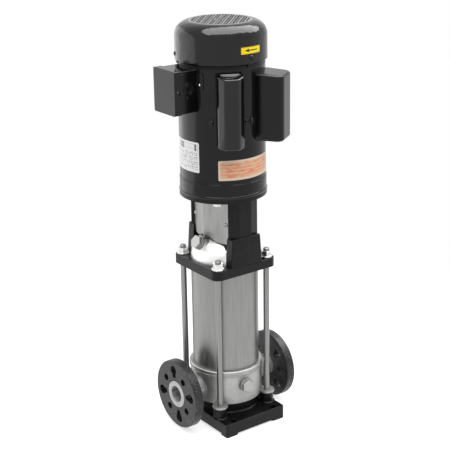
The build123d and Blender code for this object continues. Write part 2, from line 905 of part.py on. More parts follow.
export_step(motor_stool.part, "parts/motor_stool.step")

# Staybolts, and their nuts, each with its washer as one flanged piece
with BuildPart() as staybolts:
    with BuildSketch(Plane.XY.offset(boss_top - thread_depth)):
        with GridLocations(rod_pitch, rod_pitch, 2, 2):
            Circle(rod_diameter / 2)
    extrude(amount=rod_top - boss_top + thread_depth)
    chamfer(staybolts.faces().sort_by(Axis.Z)[-4:].edges(), length=1.2)
staybolts.part.label = "staybolts"
export_step(staybolts.part, "parts/staybolts.step")

with BuildPart() as staybolt_nuts:
    with BuildSketch(Plane.XY.offset(plate_top)):
        with GridLocations(rod_pitch, rod_pitch, 2, 2):
            Circle(rod_washer_radius)
            Circle(rod_diameter / 2 + slip, mode=Mode.SUBTRACT)
    extrude(amount=rod_washer_height)
    with BuildSketch(Plane.XY.offset(plate_top + rod_washer_height)):
        with GridLocations(rod_pitch, rod_pitch, 2, 2):
            RegularPolygon(hexagon(rod_nut_flats), 6)
            Circle(rod_diameter / 2 + slip, mode=Mode.SUBTRACT)
    extrude(amount=rod_nut_height)
staybolt_nuts.part.label = "staybolt_nuts"
export_step(staybolt_nuts.part, "parts/staybolt_nuts.step")


def coupling_half(side):
    """One half of the split coupling, on side -1 or +1 of the shaft."""
    levels = coupling_screw_levels()
    with BuildPart() as half:
        with BuildSketch(Plane.XY.offset(coupling_low)):
            Circle(coupling_radius)
            Circle(shaft_radius, mode=Mode.SUBTRACT)
            with Locations((side * (coupling_split / 2 - coupling_radius), 0)):
                Rectangle(2 * coupling_radius, 3 * coupling_radius, mode=Mode.SUBTRACT)
        extrude(amount=coupling_height)
        with BuildSketch(Plane.YZ):
            for level in levels:
                with Locations((-coupling_screw_reach, level), (coupling_screw_reach, level)):
                    Circle(coupling_screw / 2 + slip)
        extrude(amount=coupling_radius, both=True, mode=Mode.SUBTRACT)
        with BuildSketch(Plane.XZ):
            with Locations((0, (coupling_low + shaft_high) / 2)):
                Circle(coupling_pin / 2 + slip)
        extrude(amount=coupling_radius / 2, both=True, mode=Mode.SUBTRACT)
    return half.part


def coupling_screw_levels():
    """The two heights of the coupling screws, either side of the coupling's middle."""
    return (coupling_low + coupling_screw_edge, coupling_top - coupling_screw_edge)


# Split coupling, its pin through the pump shaft and its clamp screws
with BuildPart() as coupling_half_inlet:
    add(coupling_half(-1))
coupling_half_inlet.part.label = "coupling_half_inlet"
export_step(coupling_half_inlet.part, "parts/coupling_half_inlet.step")

with BuildPart() as coupling_half_outlet:
    add(coupling_half(1))
coupling_half_outlet.part.label = "coupling_half_outlet"
export_step(coupling_half_outlet.part, "parts/coupling_half_outlet.step")

with BuildPart() as coupling_cross_pin:
    with BuildSketch(Plane.XZ):
        with Locations((0, (coupling_low + shaft_high) / 2)):
            Circle(coupling_pin / 2)
    extrude(amount=coupling_radius / 2 - slip, both=True)
coupling_cross_pin.part.label = "coupling_pin"
export_step(coupling_cross_pin.part, "parts/coupling_pin.step")

screw_seat = sqrt(coupling_radius**2 - (coupling_screw_reach - coupling_screw_seat) ** 2)
with BuildPart() as coupling_screws:
    for level in coupling_screw_levels():
        with BuildSketch(Plane.YZ.offset(-screw_seat)):
            with Locations((-coupling_screw_reach, level), (coupling_screw_reach, level)):
                Circle(coupling_screw / 2)
        extrude(amount=2 * screw_seat - coupling_screw_head)
        with BuildSketch(Plane.YZ.offset(-screw_seat)):
            with Locations((-coupling_screw_reach, level), (coupling_screw_reach, level)):
                Circle(coupling_screw_head)
        extrude(amount=-coupling_screw_head)
coupling_screws.part.label = "coupling_screws"
export_step(coupling_screws.part, "parts/coupling_screws.step")


def guard_sheet_part(side):
    """A folded guard sheet over one window of the stool, arched over the pump head."""
    ridge = side * guard_ridge
    edge_x = side * leg_inner_half
    skin = side * guard_sheet
    fall = side * (guard_ridge - leg_inner_half) * guard_tab_half / column_inner
    low = plate_top + guard_foot
    top = shoulder - guard_top_gap
    with BuildPart() as guard:
        with BuildSketch(Plane.XY.offset(low)):
            with BuildLine():
                Polyline(
                    (edge_x, -column_inner),
                    (ridge, 0),
                    (edge_x, column_inner),
                    (edge_x + skin, column_inner),
                    (ridge + skin, 0),
                    (edge_x + skin, -column_inner),
                    close=True,
                )
            make_face()
        extrude(amount=top - low)
        with BuildSketch(Plane.YZ):
            with BuildLine():
                Line((-guard_arch_half, low - 1), (guard_arch_half, low - 1))
                Spline(
                    (guard_arch_half, low - 1),
                    (guard_arch_mid, plate_top + (guard_foot + guard_arch) / 2 - 1),
                    (guard_arch_tip, plate_top + guard_arch),
                    (-guard_arch_tip, plate_top + guard_arch),
                    (-guard_arch_mid, plate_top + (guard_foot + guard_arch) / 2 - 1),
                    (-guard_arch_half, low - 1),
                )
            make_face()
        extrude(amount=ridge + 2 * skin, mode=Mode.SUBTRACT)
        with BuildSketch(Plane.XY.offset(low + guard_tab)):
            with BuildLine():
                Polyline(
                    (ridge, 0),
                    (ridge - fall, guard_tab_half),
                    (ridge - fall + skin, guard_tab_half),
                    (ridge + skin, 0),
                    (ridge - fall + skin, -guard_tab_half),
                    (ridge - fall, -guard_tab_half),
                    close=True,
                )
            make_face()
        extrude(amount=guard_arch - guard_foot - guard_tab + 1)
        for end in (-1, 1):
            with BuildSketch(guard_screw_plane(side, end)):
                Circle(pan_screw / 2 + slip)
            extrude(amount=-2 * guard_sheet, mode=Mode.SUBTRACT)
    return guard.part


# Coupling guards over both windows of the stool
with BuildPart() as guard_inlet_side:
    add(guard_sheet_part(-1))
guard_inlet_side.part.label = "guard_inlet_side"
export_step(guard_inlet_side.part, "parts/guard_inlet_side.step")

with BuildPart() as guard_outlet_side:
    add(guard_sheet_part(1))
guard_outlet_side.part.label = "guard_outlet_side"
export_step(guard_outlet_side.part, "parts/guard_outlet_side.step")

# Lower end bell with the rabbet that centres it on the stool
bearing_low = stool_top + 12
with BuildPart() as lower_end_bell:
    with BuildSketch(Plane.XZ):
        with BuildLine():
            Polyline(
                (motor_shaft_radius + 2, stool_top - rabbet_height),
                (rabbet_radius, stool_top - rabbet_height),
                (rabbet_radius, stool_top),
                (bell_radius, stool_top),
                (bell_radius, frame_foot),
                (frame_inside - slip, frame_foot),
                (frame_inside - slip, frame_foot + bell_spigot),
                (bell_radius - bell_wall, frame_foot + bell_spigot),
                (bell_radius - bell_wall, stool_top + 10),
                (bearing_radius + 6, stool_top + 8),
                (bearing_radius + 6, bearing_low + bearing_height),
                (bearing_radius + slip, bearing_low + bearing_height),
                (bearing_radius + slip, bearing_low),
                (motor_shaft_radius + 2, bearing_low),
                close=True,
            )
        make_face()
    revolve(axis=Axis.Z)
    fillet(lower_end_bell.edges().filter_by(GeomType.CIRCLE).group_by(SortBy.RADIUS)[-1], radius=1.2)
    with BuildSketch(Plane.XY.offset(stool_top)):
        with PolarLocations(c_face_circle / 2, 4, start_angle=45):
            Circle(c_face_bolt / 2 + slip)
    extrude(amount=c_face_grip + 0.5, mode=Mode.SUBTRACT)
    with BuildSketch(Plane.XY.offset(frame_foot + bell_spigot)):
        with PolarLocations(through_bolt_circle / 2, 4, start_angle=45):
            Circle(through_bolt / 2 + slip)
    extrude(amount=-through_bolt_bury - 2, mode=Mode.SUBTRACT)
lower_end_bell.part.label = "lower_end_bell"
export_step(lower_end_bell.part, "parts/lower_end_bell.step")

# Bolts up through the stool's flange into the end bell, heads below
with BuildPart() as motor_bolts:
    with BuildSketch(Plane.XY.offset(shoulder - c_face_head)):
        with PolarLocations(c_face_circle / 2, 4, start_angle=45):
            RegularPolygon(hexagon(c_face_flats), 6)
    extrude(amount=c_face_head)
    with BuildSketch(Plane.XY.offset(shoulder)):
        with PolarLocations(c_face_circle / 2, 4, start_angle=45):
            Circle(c_face_bolt / 2)
    extrude(amount=stool_flange_height + c_face_grip)
motor_bolts.part.label = "motor_bolts"
export_step(motor_bolts.part, "parts/motor_bolts.step")

# Rolled motor frame
with BuildPart() as motor_frame:
    with BuildSketch(Plane.XY.offset(frame_foot)):
        Circle(frame_radius)
        Circle(frame_inside, mode=Mode.SUBTRACT)
    extrude(amount=frame_length)
    for angle in ear_angles:
        with BuildSketch(around(angle, ear_level)):
            Circle(pan_screw / 2 + slip)
        extrude(amount=frame_radius + 1, mode=Mode.SUBTRACT)
motor_frame.part.label = "motor_frame"
export_step(motor_frame.part, "parts/motor_frame.step")

# Upper end bell, below the fan
upper_bearing_low = frame_top - bearing_height
with BuildPart() as upper_end_bell:
    with BuildSketch(Plane.XZ):
        with BuildLine():
            Polyline(
                (journal_radius + 2, upper_bearing_low + bearing_height),
                (bearing_radius + slip, upper_bearing_low + bearing_height),
                (bearing_radius + slip, upper_bearing_low),
                (bearing_radius + 6, upper_bearing_low),
                (bearing_radius + 10, frame_top - 2),
                (frame_inside - bell_wall, frame_top - 2),
                (frame_inside - bell_wall, frame_top - bell_spigot),
                (frame_inside - slip, frame_top - bell_spigot),
                (frame_inside - slip, frame_top),
                (frame_radius - 0.5, frame_top),
                (frame_radius - 0.5, bell_top - 3),
                (frame_radius - 3, bell_top),
                (journal_radius + 2, bell_top),
                close=True,
            )
        make_face()
    revolve(axis=Axis.Z)
    with BuildSketch(Plane.XY.offset(bell_top)):
        with PolarLocations(through_bolt_circle / 2, 4, start_angle=45):
            Circle(through_bolt / 2 + slip)
    extrude(amount=-4 * upper_bell_height, mode=Mode.SUBTRACT)
    lug_radius_out = cover_radius - cover_sheet - slip
    for turn in (0, 120, 240):
        angle = cover_screw_angle + turn
        with BuildSketch(Plane.XY.offset(bell_top - cover_lug_head)):
            Circle(lug_radius_out)
            Circle(lug_radius_out - cover_lug_depth, mode=Mode.SUBTRACT)
            with Locations((cover_radius * cos(radians(angle)), cover_radius * sin(radians(angle)))):
                Rectangle(2 * cover_lug_width, cover_lug_width, rotation=angle, mode=Mode.INTERSECT)
        extrude(amount=cover_rim + cover_screw_height - bell_top + 2 * cover_lug_head)
        with BuildSketch(around(angle, cover_rim + cover_screw_height)):
            Circle(cover_screw / 2 + slip)
        extrude(amount=cover_radius, mode=Mode.SUBTRACT)
upper_end_bell.part.label = "upper_end_bell"
export_step(upper_end_bell.part, "parts/upper_end_bell.step")

# Through bolts that clamp both end bells on the frame
with BuildPart() as through_bolts:
    with BuildSketch(Plane.XY.offset(frame_foot + bell_spigot - through_bolt_bury)):
        with PolarLocations(through_bolt_circle / 2, 4, start_angle=45):
            Circle(through_bolt / 2)
    extrude(amount=bell_top - frame_foot - bell_spigot + through_bolt_bury)
    with BuildSketch(Plane.XY.offset(bell_top)):
        with PolarLocations(through_bolt_circle / 2, 4, start_angle=45):
            RegularPolygon(hexagon(through_bolt_flats), 6)
    extrude(amount=through_bolt_head)
through_bolts.part.label = "through_bolts"
export_step(through_bolts.part, "parts/through_bolts.step")

# Stator core, notched for the through bolts, with its end windings
stator_low = frame_foot + stator_foot_room
stator_length = frame_length - stator_foot_room - stator_head_room
with BuildPart() as stator_core:
    with BuildSketch(Plane.XY.offset(stator_low)):
        Circle(frame_inside - slip)
        Circle(rotor_radius + air_gap, mode=Mode.SUBTRACT)
        with PolarLocations(through_bolt_circle / 2, 4, start_angle=45):
            Circle(through_bolt / 2 + 1.5, mode=Mode.SUBTRACT)
    extrude(amount=stator_length)
stator_core.part.label = "stator_core"
export_step(stator_core.part, "parts/stator_core.step")

with BuildPart() as stator_windings:
    for level in (stator_low - winding_height, stator_low + stator_length):
        with BuildSketch(Plane.XY.offset(level)):
            Circle(rotor_radius + 26)
            Circle(rotor_radius + 4, mode=Mode.SUBTRACT)
        extrude(amount=winding_height)
stator_windings.part.label = "stator_windings"
export_step(stator_windings.part, "parts/stator_windings.step")

# Rotor core on the motor shaft, the shaft and the inner races
with BuildPart() as rotor_core:
    with BuildSketch(Plane.XY.offset(stator_low - 2)):
        Circle(rotor_radius)
        Circle(journal_radius + 3 + slip, mode=Mode.SUBTRACT)
    extrude(amount=stator_length + 4)
    for level in (stator_low - 12, stator_low + stator_length + 2):
        with BuildSketch(Plane.XY.offset(level)):
            Circle(rotor_radius - 2)
            Circle(rotor_radius - 14, mode=Mode.SUBTRACT)
        extrude(amount=10)
rotor_core.part.label = "rotor_core"
export_step(rotor_core.part, "parts/rotor_core.step")

fan_low = bell_top + 5
fan_hub_height = 20
with BuildPart() as motor_shaft:
    with BuildSketch(Plane.XY.offset(shaft_split + shaft_gap / 2)):
        Circle(motor_shaft_radius)
    extrude(amount=bearing_low - shaft_split - shaft_gap / 2)
    with BuildSketch(Plane.XY.offset(bearing_low)):
        Circle(journal_radius)
    extrude(amount=upper_bearing_low + bearing_height - bearing_low)
    with BuildSketch(Plane.XY.offset(bearing_low + bearing_height)):
        Circle(journal_radius + 3)
    extrude(amount=upper_bearing_low - bearing_low - bearing_height)
    with BuildSketch(Plane.XY.offset(frame_top)):
        Circle(motor_shaft_radius)
    extrude(amount=fan_low + fan_hub_height - frame_top)
motor_shaft.part.label = "motor_shaft"
export_step(motor_shaft.part, "parts/motor_shaft.step")

with BuildPart() as bearing_inner_rings:
    for level in (bearing_low, upper_bearing_low):
        with BuildSketch(Plane.XY.offset(level)):
            Circle(race_radius)
            Circle(journal_radius + slip, mode=Mode.SUBTRACT)
        extrude(amount=bearing_height)
bearing_inner_rings.part.label = "bearing_inner_rings"
export_step(bearing_inner_rings.part, "parts/bearing_inner_rings.step")

with BuildPart() as bearing_outer_rings:
    for level in (bearing_low, upper_bearing_low):
        with BuildSketch(Plane.XY.offset(level)):
            Circle(bearing_radius)
            Circle(race_radius + slip, mode=Mode.SUBTRACT)
        extrude(amount=bearing_height)
bearing_outer_rings.part.label = "bearing_outer_rings"
export_step(bearing_outer_rings.part, "parts/bearing_outer_rings.step")

# Cooling fan under its cover
with BuildPart() as cooling_fan:
    with BuildSketch(Plane.XY.offset(fan_low)):
        Circle(motor_shaft_radius + 8)
    extrude(amount=fan_hub_height)
    with BuildSketch(Plane.XY.offset(fan_low)):
        Circle(fan_radius)
    extrude(amount=2.5)
    with BuildSketch(Plane.XY.offset(fan_low)):
        with PolarLocations((fan_radius + motor_shaft_radius + 6) / 2, fan_blades):
            Rectangle(fan_radius - motor_shaft_radius - 6, 2.5)
    extrude(amount=fan_hub_height - 2)
    with BuildSketch(Plane.XY.offset(fan_low)):
        Circle(motor_shaft_radius + slip)
    extrude(amount=fan_hub_height, mode=Mode.SUBTRACT)
cooling_fan.part.label = "cooling_fan"
export_step(cooling_fan.part, "parts/cooling_fan.step")


# Fan cover: a drawn shell with a grille of long slots across its top
cover_shoulder = cover_rim + cover_straight
with BuildPart() as fan_cover:
    with BuildSketch(Plane.XZ):
        with BuildLine():
            Line((0, cover_top), (grille_radius, cover_top))
            outside = EllipticalCenterArc(
                (grille_radius, cover_shoulder),
                cover_radius - grille_radius,
                cover_top - cover_shoulder,
                start_angle=0,
                arc_size=90,
            )
            Polyline(
                outside @ 0,
                (cover_radius, cover_rim),
                (cover_radius - cover_sheet, cover_rim),
                (cover_radius - cover_sheet, cover_shoulder),
            )
            EllipticalCenterArc(
                (grille_radius, cover_shoulder),
                cover_radius - cover_sheet - grille_radius,
                cover_top - cover_sheet - cover_shoulder,
                start_angle=0,
                arc_size=90,
            )
            Polyline((grille_radius, cover_top - cover_sheet), (0, cover_top - cover_sheet), (0, cover_top))
        make_face()
    revolve(axis=Axis.Z)
    slot_count = int(2 * (grille_radius - grille_margin) / grille_pitch)
    with BuildSketch(Plane.XY.offset(cover_top).rotated((0, 0, 45))):
        for row in range(slot_count):
            across = (row - (slot_count - 1) / 2) * grille_pitch
            length = 2 * sqrt((grille_radius - grille_margin) ** 2 - across**2)
            if length > 3 * grille_slot:
                with Locations((0, across)):
                    SlotOverall(length, grille_slot)
    extrude(amount=-2 * cover_sheet, mode=Mode.SUBTRACT)
    for turn in (0, 120, 240):
        with BuildSketch(around(cover_screw_angle + turn, cover_rim + cover_screw_height)):
            Circle(cover_screw / 2 + slip)
        extrude(amount=cover_radius + 1, mode=Mode.SUBTRACT)
fan_cover.part.label = "fan_cover"
export_step(fan_cover.part, "parts/fan_cover.step")

# Fan cover screws, through the cover into the lugs of the upper end bell
with BuildPart() as fan_cover_screws:
    for turn in (0, 120, 240):
        outward = around(cover_screw_angle + turn, cover_rim + cover_screw_height)
        with BuildSketch(outward.offset(cover_radius - cover_sheet - cover_screw_bite)):
            Circle(cover_screw / 2)
        extrude(amount=cover_sheet + cover_screw_bite)
        with BuildSketch(outward.offset(cover_radius)):
            Circle(cover_screw_head)
        extrude(amount=cover_screw_head / 2)
fan_cover_screws.part.label = "fan_cover_screws"
export_step(fan_cover_screws.part, "parts/fan_cover_screws.step")

# Conduit box on the frame's inlet side, with its cover and board
with BuildPart() as conduit_box:
    with Locations((-(box_reach + frame_radius - box_root) / 2, 0, box_middle)):
        Box(box_reach - frame_radius + box_root, box_width, box_height)
    fillet(conduit_box.edges().filter_by(Axis.X), radius=box_corner)
    with Locations((-(box_reach + box_floor) / 2, 0, box_middle)):
        Box(box_reach - box_floor, box_width - 2 * box_sheet, box_height - 2 * box_sheet, mode=Mode.SUBTRACT)
    with BuildSketch(Plane.XY.offset(box_foot)):
        Circle(frame_radius + slip)
    extrude(amount=box_height, mode=Mode.SUBTRACT)
    for side in (-1, 1):
        with BuildSketch(lid_screw_plane(side)):
            Circle(pan_screw / 2 + slip)
        extrude(amount=-pan_screw_length, mode=Mode.SUBTRACT)
conduit_box.part.label = "conduit_box"
export_step(conduit_box.part, "parts/conduit_box.step")

with BuildPart() as conduit_cover:
    with Locations((-box_reach - box_sheet / 2 + lid_lip / 2, 0, box_middle)):
        Box(lid_lip + box_sheet, box_width + 2 * box_sheet + 2 * slip, box_height + 2 * box_sheet + 2 * slip)
    fillet(conduit_cover.edges().filter_by(Axis.X), radius=box_corner + box_sheet)
    with Locations((lid_lip / 2 - box_reach, 0, box_middle)):
        Box(lid_lip, box_width + 2 * slip, box_height + 2 * slip, mode=Mode.SUBTRACT)
    for side in (-1, 1):
        with BuildSketch(lid_screw_plane(side)):
            Circle(pan_screw / 2 + slip)
        extrude(amount=-pan_screw_length, mode=Mode.SUBTRACT)
conduit_cover.part.label = "conduit_cover"
export_step(conduit_cover.part, "parts/conduit_cover.step")

with BuildPart() as terminal_board:
    with Locations((-box_floor - board_height / 2, 0, box_middle)):
        Box(board_height, box_width - 2 * board_margin, box_height - 4 * board_margin)
    with BuildSketch(Plane.YZ.offset(-box_floor - board_height)):
        with Locations((0, box_middle)):
            with GridLocations(terminal_pitch, terminal_pitch, 2, 2):
                RegularPolygon(terminal_radius, 6)
    extrude(amount=-terminal_height)
terminal_board.part.label = "terminal_board"
export_step(terminal_board.part, "parts/terminal_board.step")


def radial_plane(angle):
    """The upright plane through the motor's axis that looks along this angle."""
    return Plane(
        origin=(0, 0, frame_top),
        x_dir=(cos(radians(angle)), sin(radians(angle)), 0),
        z_dir=(sin(radians(angle)), -cos(radians(angle)), 0),
    )


def can_block(angle, width, reach, corner, drop, height, inset):
    """The rounded block of a capacitor cover, made smaller on every side by an inset."""
    middle = radial_plane(angle)
    inner = frame_radius - width / 2
    level = frame_top - drop - height / 2
    far = (2 * reach * cos(radians(angle)), 2 * reach * sin(radians(angle)), level)
    with BuildPart() as block:
        with BuildSketch(middle):
            with BuildLine():
                Polyline(
                    (inner, inset - drop - height),
                    (reach - inset, inset - drop - height),
                    (reach - inset, -drop - inset - can_slope),
                    (frame_radius, -drop - inset),
                    (inner, -drop - inset),
                    close=True,
                )
            make_face()
        extrude(amount=width / 2 - inset, both=True)
        uprights = block.edges().filter_by(Axis.Z).sort_by_distance(far)
        fillet(uprights[0:2], radius=corner - inset)
        front = block.faces().sort_by_distance(far)[0]
        fillet(front.edges().filter_by(Axis.Z, reverse=True), radius=can_edge - inset)
    return block.part


def can_cover(angle, width, reach, corner, drop, height):
    """A drawn cover over a capacitor, saddled on the frame, with ears for its screws."""
    with BuildPart() as cover:
        add(can_block(angle, width, reach, corner, drop, height, 0))
        add(can_block(angle, width, reach, corner, drop, height, can_sheet), mode=Mode.SUBTRACT)
        with BuildSketch(Plane.XY.offset(ear_level - ear_width / 2)):
            Circle(frame_radius + slip + can_sheet)
            with Locations((frame_radius * cos(radians(angle)), frame_radius * sin(radians(angle)))):
                Rectangle(width, width + 2 * ear_reach, rotation=angle, mode=Mode.INTERSECT)
                Rectangle(2 * width, width - 2 * can_sheet, rotation=angle, mode=Mode.SUBTRACT)
        extrude(amount=ear_width)
        with BuildSketch(Plane.XY.offset(frame_top - drop - height)):
            Circle(frame_radius + slip)
        extrude(amount=height, mode=Mode.SUBTRACT)
        for turn in ear_turns(angle, width):
            with BuildSketch(around(turn, ear_level)):
                Circle(pan_screw / 2 + slip)
            extrude(amount=reach, mode=Mode.SUBTRACT)
    return cover.part


# Capacitor covers on the frame
with BuildPart() as start_capacitor_cover:
    add(can_cover(start_angle, start_width, start_reach, start_corner, start_drop, start_height))
start_capacitor_cover.part.label = "start_capacitor_cover"
export_step(start_capacitor_cover.part, "parts/start_capacitor_cover.step")

with BuildPart() as run_capacitor_cover:
    add(can_cover(run_angle, run_width, run_reach, run_corner, run_drop, run_height))
run_capacitor_cover.part.label = "run_capacitor_cover"
export_step(run_capacitor_cover.part, "parts/run_capacitor_cover.step")


def capacitor(angle, reach, drop, height):
    """A capacitor can that stands upright between the frame and its cover."""
    radius = (reach - can_sheet - frame_radius) / 2 - can_room
    centre = frame_radius + radius + slip
    with BuildPart() as can:
        with BuildSketch(Plane.XY.offset(frame_top - drop - height + can_foot)):
            with Locations((centre * cos(radians(angle)), centre * sin(radians(angle)))):
                Circle(radius)
        extrude(amount=height - can_foot - can_head)
    return can.part


with BuildPart() as start_capacitor:
    add(capacitor(start_angle, start_reach, start_drop, start_height))
start_capacitor.part.label = "start_capacitor"
export_step(start_capacitor.part, "parts/start_capacitor.step")

with BuildPart() as run_capacitor:
    add(capacitor(run_angle, run_reach, run_drop, run_height))
run_capacitor.part.label = "run_capacitor"
export_step(run_capacitor.part, "parts/run_capacitor.step")

# Small pan head screws of the guards, the capacitor covers and the conduit cover
screw_planes = [guard_screw_plane(side, end) for side in (-1, 1) for end in (-1, 1)]
screw_planes += [around(angle, ear_level).offset(frame_radius + slip + can_sheet) for angle in ear_angles]
screw_planes += [lid_screw_plane(side) for side in (-1, 1)]
with BuildPart() as pan_screws:
    for plane in screw_planes:
        with BuildSketch(plane):
            Circle(pan_head / 2)
        extrude(amount=pan_head_height)
        with BuildSketch(plane):
            Circle(pan_screw / 2)
        extrude(amount=-pan_screw_length)
pan_screws.part.label = "pan_screws"
export_step(pan_screws.part, "parts/pan_screws.step")
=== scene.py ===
"""Looks of an upright multistage booster pump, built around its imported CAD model.

Blender's lengths are metres. The sizes below are written in millimetres and turned to metres where
a mesh is made. Z is up along the shaft, and the pipe runs along X with the inlet at -X.
"""

import json

import bmesh
import bpy
import numpy as np
from mathutils import Matrix


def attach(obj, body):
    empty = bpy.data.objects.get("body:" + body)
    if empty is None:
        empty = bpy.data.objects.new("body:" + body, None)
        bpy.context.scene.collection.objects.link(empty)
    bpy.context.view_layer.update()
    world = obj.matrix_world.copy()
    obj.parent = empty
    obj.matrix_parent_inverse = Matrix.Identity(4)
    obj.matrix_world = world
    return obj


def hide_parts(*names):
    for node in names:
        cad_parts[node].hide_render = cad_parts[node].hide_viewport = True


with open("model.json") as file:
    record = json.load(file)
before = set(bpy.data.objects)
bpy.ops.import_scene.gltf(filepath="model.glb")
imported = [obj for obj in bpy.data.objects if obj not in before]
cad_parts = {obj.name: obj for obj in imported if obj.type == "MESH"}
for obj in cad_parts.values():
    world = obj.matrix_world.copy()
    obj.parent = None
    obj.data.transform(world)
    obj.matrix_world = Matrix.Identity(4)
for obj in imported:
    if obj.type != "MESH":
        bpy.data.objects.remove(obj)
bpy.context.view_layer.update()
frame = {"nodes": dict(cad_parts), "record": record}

MM = 0.001


# Colours and nodes


def linear(code):
    """A sRGB hex colour as linear red, green, blue, alpha: low values are divided by 12.92, the
    others go through the power 2.4 of their share of the curve."""
    share = np.array([int(code[i : i + 2], 16) for i in (1, 3, 5)]) / 255
    curve = np.where(share <= 0.04045, share / 12.92, ((share + 0.055) / 1.055) ** 2.4)
    return (*curve.tolist(), 1.0)


def add_node(tree, kind, settings=None, links=None):
    """One node of this kind. Settings names its attributes and, by name or number, the values of
    its inputs; links names its inputs and gives the output that feeds each."""
    node = tree.nodes.new(kind)
    for key, value in (settings or {}).items():
        if isinstance(key, str) and hasattr(node, key):
            setattr(node, key, value)
        else:
            node.inputs[key].default_value = value
    for key, output in (links or {}).items():
        tree.links.new(output, node.inputs[key])
    return node


def bands(tree, factor, stops):
    """A colour ramp through stops of a place from 0 to 1 and a colour."""
    node = add_node(tree, "ShaderNodeValToRGB", links={"Fac": factor})
    for place, _ in stops[2:]:
        node.color_ramp.elements.new(place)
    for stop, (place, colour) in zip(node.color_ramp.elements, sorted(stops)):
        stop.position, stop.color = place, colour
    return node.outputs["Color"]


def ramp(tree, factor, low, high, dark, light):
    """A colour ramp between two places of the factor, from the dark to the light colour."""
    return bands(tree, factor, [(low, dark), (high, light)])


def finish_of(name, settings, shade):
    """A material with one Principled shader. Shade draws on its node tree and returns the outputs
    for the shader's inputs."""
    material = bpy.data.materials.new(name)
    material.use_nodes = True
    tree = material.node_tree
    shader = tree.nodes["Principled BSDF"]
    for key, value in settings.items():
        shader.inputs[key].default_value = value
    for key, output in shade(tree).items():
        tree.links.new(output, shader.inputs[key])
    return material


def grain(tree, size, detail=3.0, stretch=(1, 1, 1)):
    """Noise on Object coordinates whose lumps are this many millimetres across."""
    place = add_node(tree, "ShaderNodeTexCoord").outputs["Object"]
    place = add_node(
        tree, "ShaderNodeMapping", {"Scale": stretch}, {"Vector": place}
    ).outputs["Vector"]
    return add_node(
        tree, "ShaderNodeTexNoise", {"Scale": 1 / (size * MM), "Detail": detail}, {"Vector": place}
    ).outputs["Fac"]


def relief(tree, height, depth):
    """A bump of this many millimetres from a height between 0 and 1."""
    return add_node(
        tree, "ShaderNodeBump", {"Strength": 1.0, "Distance": depth * MM}, {"Height": height}
    ).outputs["Normal"]


def span(tree, value, low, high):
    """A value from 0 to 1 taken to the range from low to high."""
    return add_node(
        tree, "ShaderNodeMapRange", {"To Min": low, "To Max": high}, {"Value": value}
    ).outputs["Result"]


def figure(tree, operation, first, second=0.0):
    """One Math node; each of its values is a number or the output that feeds it."""
    values = {i: v for i, v in enumerate((first, second)) if isinstance(v, (int, float))}
    feeds = {i: v for i, v in enumerate((first, second)) if i not in values}
    return add_node(tree, "ShaderNodeMath", {"operation": operation, **values}, feeds).outputs[0]


def product(tree, first, *others):
    """The product of numbers or outputs."""
    for other in others:
        first = figure(tree, "MULTIPLY", first, other)
    return first


def within(tree, value, low, high):
    """1 where the value lies between low and high, else 0."""
    over = figure(tree, "GREATER_THAN", value, low)
    return product(tree, over, figure(tree, "LESS_THAN", value, high))


def blend(tree, share, below, above):
    """A mix of two colours, each a colour or the output that feeds it."""
    node = add_node(tree, "ShaderNodeMix", {"data_type": "RGBA"}, {"Factor": share})
    for index, value in ((6, below), (7, above)):
        if isinstance(value, tuple):
            node.inputs[index].default_value = value
        else:
            tree.links.new(value, node.inputs[index])
    return node.outputs[2]


def row_line(tree, way, rows, low, high):
    """1 between two shares of each row, of which there are this many in one unit of the way."""
    return within(tree, figure(tree, "FRACT", product(tree, way, rows)), low, high)


def plainly_seen(tree):
    """1 for what the camera, metal and glass look at, 0 for the rays that light matt surfaces."""
    ray = add_node(tree, "ShaderNodeLightPath").outputs
    seen = figure(tree, "MAXIMUM", ray["Is Camera Ray"], ray["Is Glossy Ray"])
    return figure(tree, "MAXIMUM", seen, ray["Is Transmission Ray"])


# Finishes

GRILLE_LEVEL = 0.8126


def enamel_shade(tree):
    """Sprayed gloss enamel over sheet steel: faint orange peel 7 mm across and soft haze."""
    haze = grain(tree, 60)
    return {
        "Base Color": ramp(tree, haze, 0.3, 0.7, linear("#070708"), linear("#0c0c0d")),
        "Roughness": span(tree, haze, 0.1, 0.18),
        "Normal": relief(tree, grain(tree, 7, 1.0), 0.02),
    }


enamel = finish_of("sprayed_gloss_enamel", {"IOR": 1.36}, enamel_shade)


def grille_dust(tree):
    """1 where the grille's bars are painted pale as a painted highlight: in cells 19 mm along its
    slots and 14 mm across, on a ring round its middle and on its rim; 0 on the rest of the cover.
    Lengths are metres here."""
    place = add_node(tree, "ShaderNodeTexCoord").outputs["Object"]
    part = add_node(tree, "ShaderNodeSeparateXYZ", links={"Vector": place}).outputs
    across = figure(tree, "SUBTRACT", part["Y"], part["X"])
    along = figure(tree, "ADD", part["Y"], part["X"])
    cells = product(
        tree, row_line(tree, across, 52, 0.0, 0.55), row_line(tree, along, 37, 0.0, 0.62)
    )
    squares = [figure(tree, "POWER", part[axis], 2.0) for axis in "XY"]
    reach = figure(tree, "SQRT", figure(tree, "ADD", *squares))
    hub, rim = within(tree, reach, 0.008, 0.0125), within(tree, reach, 0.0572, 0.0592)
    pale = product(tree, cells, within(tree, reach, 0.017, 0.055))
    pale = figure(tree, "MAXIMUM", pale, figure(tree, "MAXIMUM", hub, rim))
    return product(tree, pale, figure(tree, "GREATER_THAN", part["Z"], GRILLE_LEVEL))


